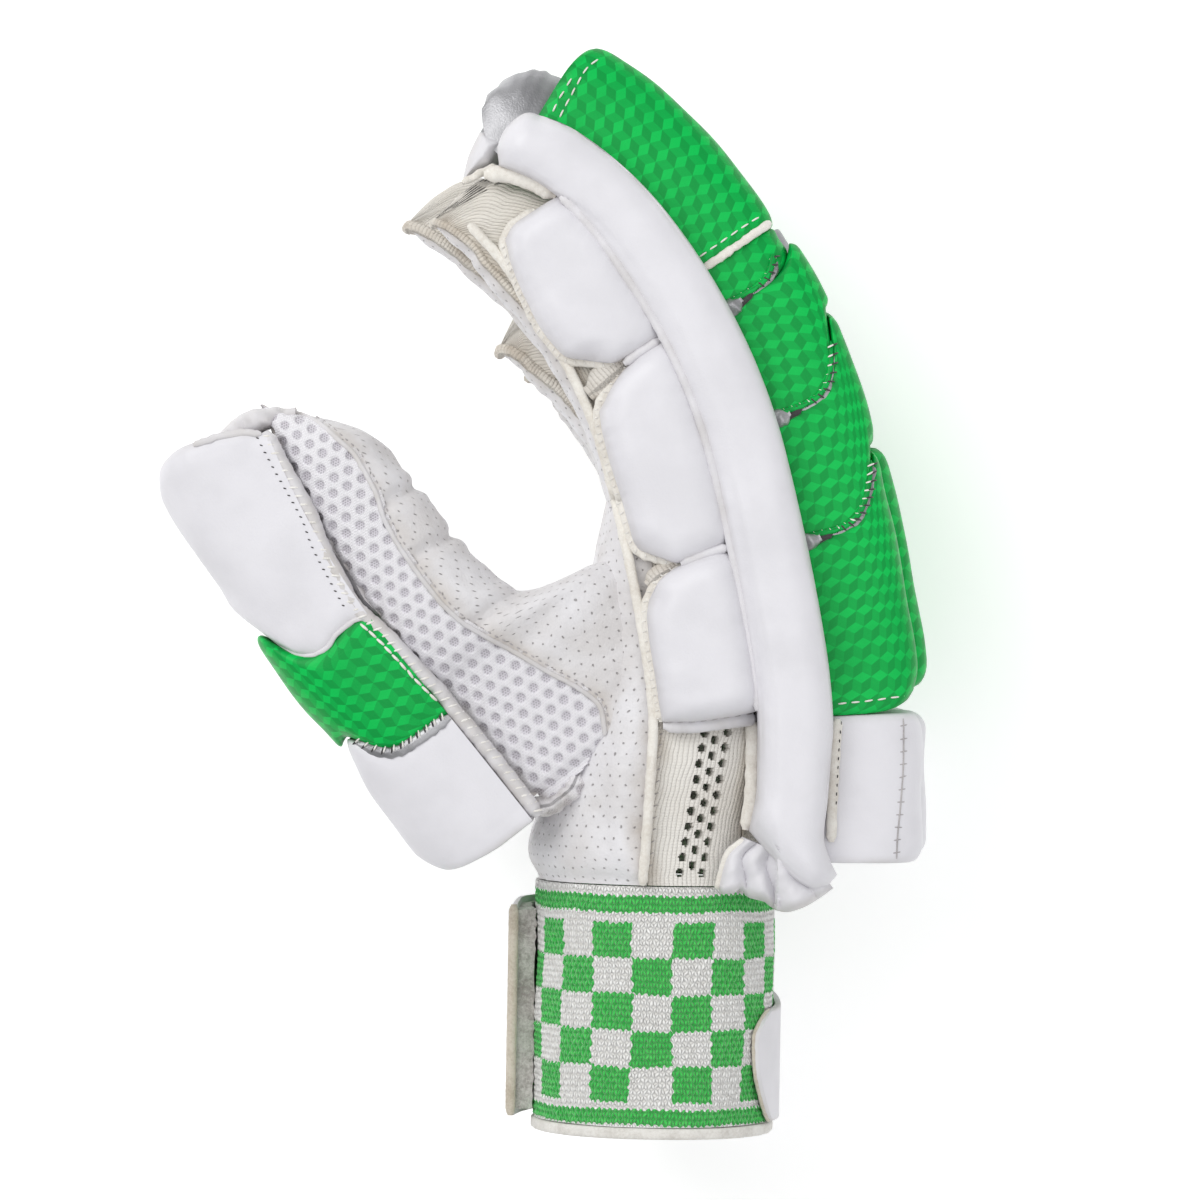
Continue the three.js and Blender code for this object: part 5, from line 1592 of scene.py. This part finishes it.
def trim_thumb(leather, mesh, pads):
    """Seams, bindings and stitches of the thumb"""
    edge = [(s, n) for s, n in MESH_EDGE if s > -5]
    lay_cord("thumb_leather_lip", [leather, mesh], THUMB, edge, 1.4, 1.1, SOFT_LEATHER, 0.3, 0.12)
    sew("thumb_lip_stitches", [leather], THUMB, [(s, n - 1.6) for s, n in edge], 2.2, 1.0,
        SEAM_SHADE, radius=0.2, arch=0.12)
    line = [(0.6, -2.4)] + [(s, n) for s, n in PAD_LINE if s > 0]
    s, n = stroke(line, np.linspace(0, 1, 150)).T
    path = THUMB.place(s, n - 0.4 + 1.2 * smooth(46, 34, s), thumb_middle(s) + 15)
    strip = cord("thumb_pad_binding", path, 4.4, 8, SOFT_LEATHER, rough=0.09, seed=61)
    sew("thumb_pad_binding_stitches", [strip], THUMB, line, 2.6, 2.4, WHITE_THREAD, 62,
        radius=0.3)
    fold = [(5.5, -1.6), (2.2, -3), (0.4, -7), (0.4, -12), (3, -18)]
    cord("thumb_mesh_base_fold", along_line(THUMB, fold, 50, thumb_middle(0) + 5), 5.5, 16, MESH,
         sides=24, rough=0.14, seed=67)
    sew("thumb_pad_dark_stitches", pads, THUMB, [(s, n + 2) for s, n in line if s > 76], 2.1, 0.8,
        DARK_THREAD_AND_SHADOW, 50, radius=0.17, arch=0.1)
    low = [(soft(GREEN_PAD_END, n) - 0.7, n) for n in (0.5, 5, 10, 15, 19, 22, 24.5)]
    lining = lay_cord("thumb_middle_pad_lining", pads, THUMB, low, 3.2, 1.8, SILVER,
                      0.35, 0.2)
    # The dark stitches beside the white ones are painted shadow of the stitches
    for name, shift, material in (("white", 0, WHITE_THREAD), ("dark", 0.8, DARK_THREAD_AND_SHADOW)):
        sew(f"thumb_lining_{name}_stitches", [lining] + pads, THUMB,
            [(s + 1.2, n + shift) for s, n in low], 2.6, 1.7, material, 70)
    high = [(soft(TIP_PAD_END, n) + 0.2, n) for n in (0.5, 5, 10, 14.6, 18.5, 22, 25, 27.5)]
    lay_cord("thumb_tip_pad_lip", pads, THUMB, high, 1.5, 1.3, WHITE, 0.3, 0.1)
    chain = [(s, soft(PAD_LINE, s) + 1.9) for s in np.linspace(39, 71, 12)]
    sew("thumb_middle_pad_stitches", pads, THUMB, chain, 2.7, 2.3, WHITE_THREAD,
        radius=0.38)
    s, n = stroke([(132.4, 15), (134.2, 6), (133.8, -2), (132, -8)], np.linspace(0, 1, 30)).T
    tip_lean = radians(THUMB_LEAN[-1][1])
    cord("thumb_end_gather", THUMB.place(s - 2.2, n, THUMB_PLACE * 1.03), 27, 7.4, SOFT_LEATHER,
         sides=60, rough=0.09, seed=66, square=3, up=np.array([-sin(tip_lean), cos(tip_lean), 0]))
    lay_cord("thumb_end_tag", pads, THUMB, [(131.2, 20), (131, 14), (130.2, 8), (127.6, 2)],
             1.9, 1.2, SOFT_LEATHER, 0.2, 0.2)


# Cuff and strap

def make_cuff():
    """The knitted tube of the cuff, with its stitches in relief"""
    stops = np.linspace(-GAP, HEM_HEIGHT + GAP - CUFF_HEIGHT, 145)
    angles = even_angles(cuff_section(np.array([-10.0])), -90, 270, 520)
    section = cuff_section(stops)
    plain = round_section(section, angles, 0)
    across, along = measure(plain)
    top = int(np.argmin(np.abs(angles - 91)))
    across = across - across[:, top][:, None] + CHECK_WIDTH / 2
    across = across * (CHECK_WIDTH * CHECK_COLUMNS / (across[0, -1] - across[0, 0]))
    fade = np.clip((across - across[:, :1]) / 12, 0, 1) * np.clip((across[:, -1:] - across) / 12, 0, 1)
    u = across + fade * (0.22 * uneven(across, along, 3.1, 21) + 0.5 * uneven(across, along, 24, 23))
    v = along + 0.2 * uneven(across, along, 2.7, 22) + 0.35 * uneven(across, along, 30, 24)
    wide = 2 * u / CUFF_STITCH
    rows = v / CUFF_ROW
    x = wide - np.floor(wide) - 0.5
    y = rows - np.floor(rows) - 0.5
    way = np.mod(np.floor(wide) + np.floor(rows), 2) * 2 - 1
    off = np.abs(y - way * 0.62 * x)
    yarn = np.sqrt(np.clip(1 - (off * 2.2) ** 2, 0, 1)) * np.clip(1 - np.abs(x * 1.8) ** 4, 0, 1)
    size = 0.75 + 0.25 * uneven(across, along, 2.3, 25)
    full = 0.5 * uneven(across, along, 30, 9)
    outer = round_section(section, angles, 0.4 - 0.62 * yarn * size - full)
    inner = round_section(section, angles, CUFF_WALL)
    piece = slab("cuff_knitted_tube", outer, inner, CUFF, flat=(u, v))
    finish_piece(piece, ("cuff",))


def make_hem():
    """The ribbed hem round the cuff's mouth"""
    stops = np.linspace(HEM_HEIGHT - CUFF_HEIGHT, -CUFF_HEIGHT, 9)
    angles = even_angles(cuff_section(np.array([-60.0])), -90, 270, 240)
    section = cuff_section(stops)
    bulge = 0.5 * np.sqrt(np.clip(1 - (np.linspace(-1, 1, 9)) ** 4, 0, 1))[:, None] - 0.15
    plain = round_section(section, angles, 0)
    across, along = measure(plain)
    ribs = 0.24 * np.sin(2 * pi * across / 1.7) + 0.15 * uneven(across, along, 6, 17)
    outer = round_section(section, angles, -bulge - ribs)
    inner = round_section(section, angles, CUFF_WALL)
    piece = slab("cuff_hem_binding", outer, inner, HEM, flat=(across, along))
    finish_piece(piece, ("cuff_hem",))


# The strap's height and its stand off the cuff as shares, and its start in degrees at each s
STRAP_HEIGHTS = [(0, 0.515), (0.1, 0.53), (0.3, 0.62), (0.6, 0.95), (0.8, 1), (0.95, 1), (1, 0.97)]
STRAP_STARTS = [(-65.4, 20), (-64, 24), (-59, 31), (-50, 37.5), (-42, 38.5), (-38, 34), (-35, 26), (-34, 18)]
STRAP_STANDS = [(0, 0), (0.6, 0), (0.8, 0.02), (0.9, 0.32), (0.95, 0.64), (1, 1)]


def strap_grid(shares, heights, away):
    """Points of the strap: shares of its way round, shares of its height, and distance outwards"""
    share = shares[:, None]
    v = heights[None, :]
    s = -STRAP_LOW + STRAP_HEIGHT * between(STRAP_HEIGHTS, share) * v
    start = soft(STRAP_STARTS, -STRAP_LOW + STRAP_HEIGHT * STRAP_HEIGHTS[0][1] * v)
    turn = mix(start, -191.5, share)
    stand = 5.2 * between(STRAP_STANDS, share)
    n, z = square_point(2.2, turn)
    middle = -BACK_SINK - CUFF_DEPTH / 2
    reach = GAP + stand + away
    return INDEX.guide.place(s, middle + (CUFF_DEPTH / 2 + reach) * n, (CUFF_WIDTH / 2 + reach) * z)


def make_strap():
    """The strap with its hook tape and bound ends"""
    shares = np.concatenate([np.linspace(0, 0.1, 24)[:-1], np.linspace(0.1, 1, 120)])
    heights = dense(40, 0.8)
    edge = np.minimum(heights, 1 - heights)[None, :] * 55
    front = shares[:, None] * STRAP_LENGTH
    thick = STRAP_WALL * puff(edge, 1.2, 0.5) * puff(front, 1.5, 0.5)
    outer = strap_grid(shares, heights, thick)
    inner = strap_grid(shares, heights, 0.3)
    piece = slab("strap_leather", outer, inner, SOFT_LEATHER, seam=np.minimum(edge, front))
    finish_piece(piece, ("strap",))
    ends = np.linspace(0.87, 0.995, 60)
    rows = np.linspace(0.03, 0.97, 130)
    nap = 0.7 * uneven(ends[:, None] * STRAP_LENGTH, rows[None, :] * STRAP_HEIGHT, 1.3, 3)
    fill = 1.2 + 3.4 * smooth(0.93, 1, ends)[:, None]
    outer, inner = strap_grid(ends, rows, 0.2), strap_grid(ends, rows, -fill - np.abs(nap))
    finish_piece(slab("hook_tape_strip", outer, inner, HOOKS), ("hook_tape",))
    lines = strap_grid(np.array([0.9995]), np.linspace(0, 1, 60), 1.3)[0]
    cord("strap_end_binding", lines, 2.9, 2.7, EDGE, rough=0.06, seed=12)
    lines = strap_grid(np.array([0.0015]), np.linspace(0, 1, 60), 0.6)[0]
    cord("strap_tab_binding", lines, 1.1, 1.2, EDGE, rough=0.15, seed=13)


# Piping and gather

def make_piping():
    """The raised seam between the palm and the side of the hand"""
    stops = np.concatenate([np.linspace(0.2, HAND_LENGTH, 90), np.linspace(HAND_LENGTH + 2, 238, 70)])
    n = between(PIPING_LINE, stops / HAND_LENGTH)
    z = side_base(INDEX, stops, n) + 1.1
    path = INDEX.guide.place(stops, n, z)
    piece = cord("piping_cord", path, 2.8, 2.8, TAPE, rough=0.1, seed=4)
    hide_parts("piping")


def make_gather():
    """Crumpled end of the side bar, gathered in lobes over the cuff"""
    near = [(14, -25), (9.7, -29.9), (1.2, -32.2)]
    far = [(9, -10), (5, -4), (0.5, -0.5)]
    start = [(14, -25), (12, -20), (10, -14), (9, -10)]
    end = [(1.2, -32.2), (-2, -30.2), (-1.6, -27), (-0.6, -25.6), (-2.8, -23.1), (-3.9, -18.9),
           (-5.6, -16.4), (-6.2, -13.1), (-5.1, -9), (-2.2, -4), (0.5, -0.5)]
    u, v = dense(46, 0.4), np.linspace(0, 1, 90)
    s, n = patch_grid(near, far, start, end, u, v)
    base = side_base(INDEX, np.maximum(s, 0), n) - SIDE_GAP + 2 * GAP
    u, v = u[:, None], v[None, :]
    bent = v + 0.05 * np.sin(u * 5)
    fold = np.abs(np.sin(pi * (bent * 3.6 + 0.1))) ** 0.75
    edge = np.clip(np.minimum(np.minimum(v, 1 - v) * 6, (1 - u) * 5), 0, 1)
    body = 3 + 5.2 * (0.3 + 0.7 * fold) * (0.6 + 0.4 * u)
    body = body + 0.5 * uneven(s, n, 7, 8) + 0.12 * uneven(s, n, 2.6, 9)
    top = body * np.sqrt(1 - (1 - edge) ** 2) + 0.6 + 3.5 * (1 - u) ** 2
    piece = slab("gathered_leather", INDEX.guide.place(s, n, base + top), INDEX.guide.place(s, n, base),
                 SOFT_LEATHER, seam=(1 - u) * 12 + 0 * v)
    finish_piece(piece, ("gather",))
    line = INDEX.guide.place(s[2:, 3], n[2:, 3], (base + top)[2:, 3] + 0.2)
    cord("gather_edge", line, 1.8, 1.8, TAPE, rough=0.1, seed=14)


make_hand()
side_knit = make_side_knit()
make_finger_web()
make_fingers()
make_tip_leather()
index_bar, index_pads = make_side_padding()
trim_side(index_bar, index_pads, side_knit)
trim_rolls(make_rolls())
trim_thumb(*make_thumb())
make_cuff()
make_hem()
make_strap()
make_piping()
make_gather()


# Floor, light and camera

# The view is this wide, in metres, at its middle point. The lens and the sensor are in millimetres
VIEW_MIDDLE = (0.01457, 0.00085, 0.105)
VIEW_WIDTH = 0.324
LENS = 180
SENSOR = 36


def make_studio():
    """A pale floor, three soft lamps, an even sky, and a camera that looks straight down"""
    mesh = bpy.data.meshes.new("floor")
    reach = 3
    corners = [(-reach, -reach, 0), (reach, -reach, 0), (reach, reach, 0), (-reach, reach, 0)]
    mesh.from_pydata(corners, [], [(0, 1, 2, 3)])
    floor = bpy.data.objects.new("floor", mesh)
    bpy.context.scene.collection.objects.link(floor)
    finish = Finish("Pale floor", 0.95)
    tone = noise(finish.tree, finish.place, 2.0, 2.0)
    finish.colour(blend(finish.tree, (0.95, 0.95, 0.95, 1.0), (0.97, 0.97, 0.97, 1.0), tone))
    finish.shader.inputs["Emission Color"].default_value = (1.0, 1.0, 1.0, 1.0)
    finish.shader.inputs["Emission Strength"].default_value = 0.3
    mesh.materials.append(finish.material)
    for name, place, size, power, tint in (
            ("soft_key", (-0.8, 0.7, 1.3), 1.0, 12.5, (1.0, 0.995, 0.985)),
            ("soft_fill", (0.9, -0.5, 1.3), 1.5, 5, (0.985, 0.99, 1.0)),
            ("soft_top", (0.1, 0.2, 2.2), 2.0, 7, (1.0, 1.0, 1.0))):
        lamp = bpy.data.lights.new(name, "AREA")
        lamp.size = size
        lamp.energy = power
        lamp.color = tint
        item = bpy.data.objects.new(name, lamp)
        item.location = place
        item.rotation_euler = (Vector((0, 0, 0.05)) - Vector(place)).to_track_quat("-Z", "Y").to_euler()
        bpy.context.scene.collection.objects.link(item)
    world = bpy.data.worlds.new("studio")
    world.use_nodes = True
    sky = world.node_tree.nodes["Background"].inputs
    sky["Color"].default_value = (1.0, 1.0, 1.0, 1.0)
    sky["Strength"].default_value = 0.5
    bpy.context.scene.world = world
    bpy.context.scene.view_settings.view_transform = "Standard"
    lens = bpy.data.cameras.new("camera")
    lens.lens = LENS
    lens.sensor_width = SENSOR
    camera = bpy.data.objects.new("camera", lens)
    x, y, z = VIEW_MIDDLE
    camera.location = (x, y, z + VIEW_WIDTH * LENS / SENSOR)
    bpy.context.scene.collection.objects.link(camera)
    bpy.context.scene.camera = camera


make_studio()
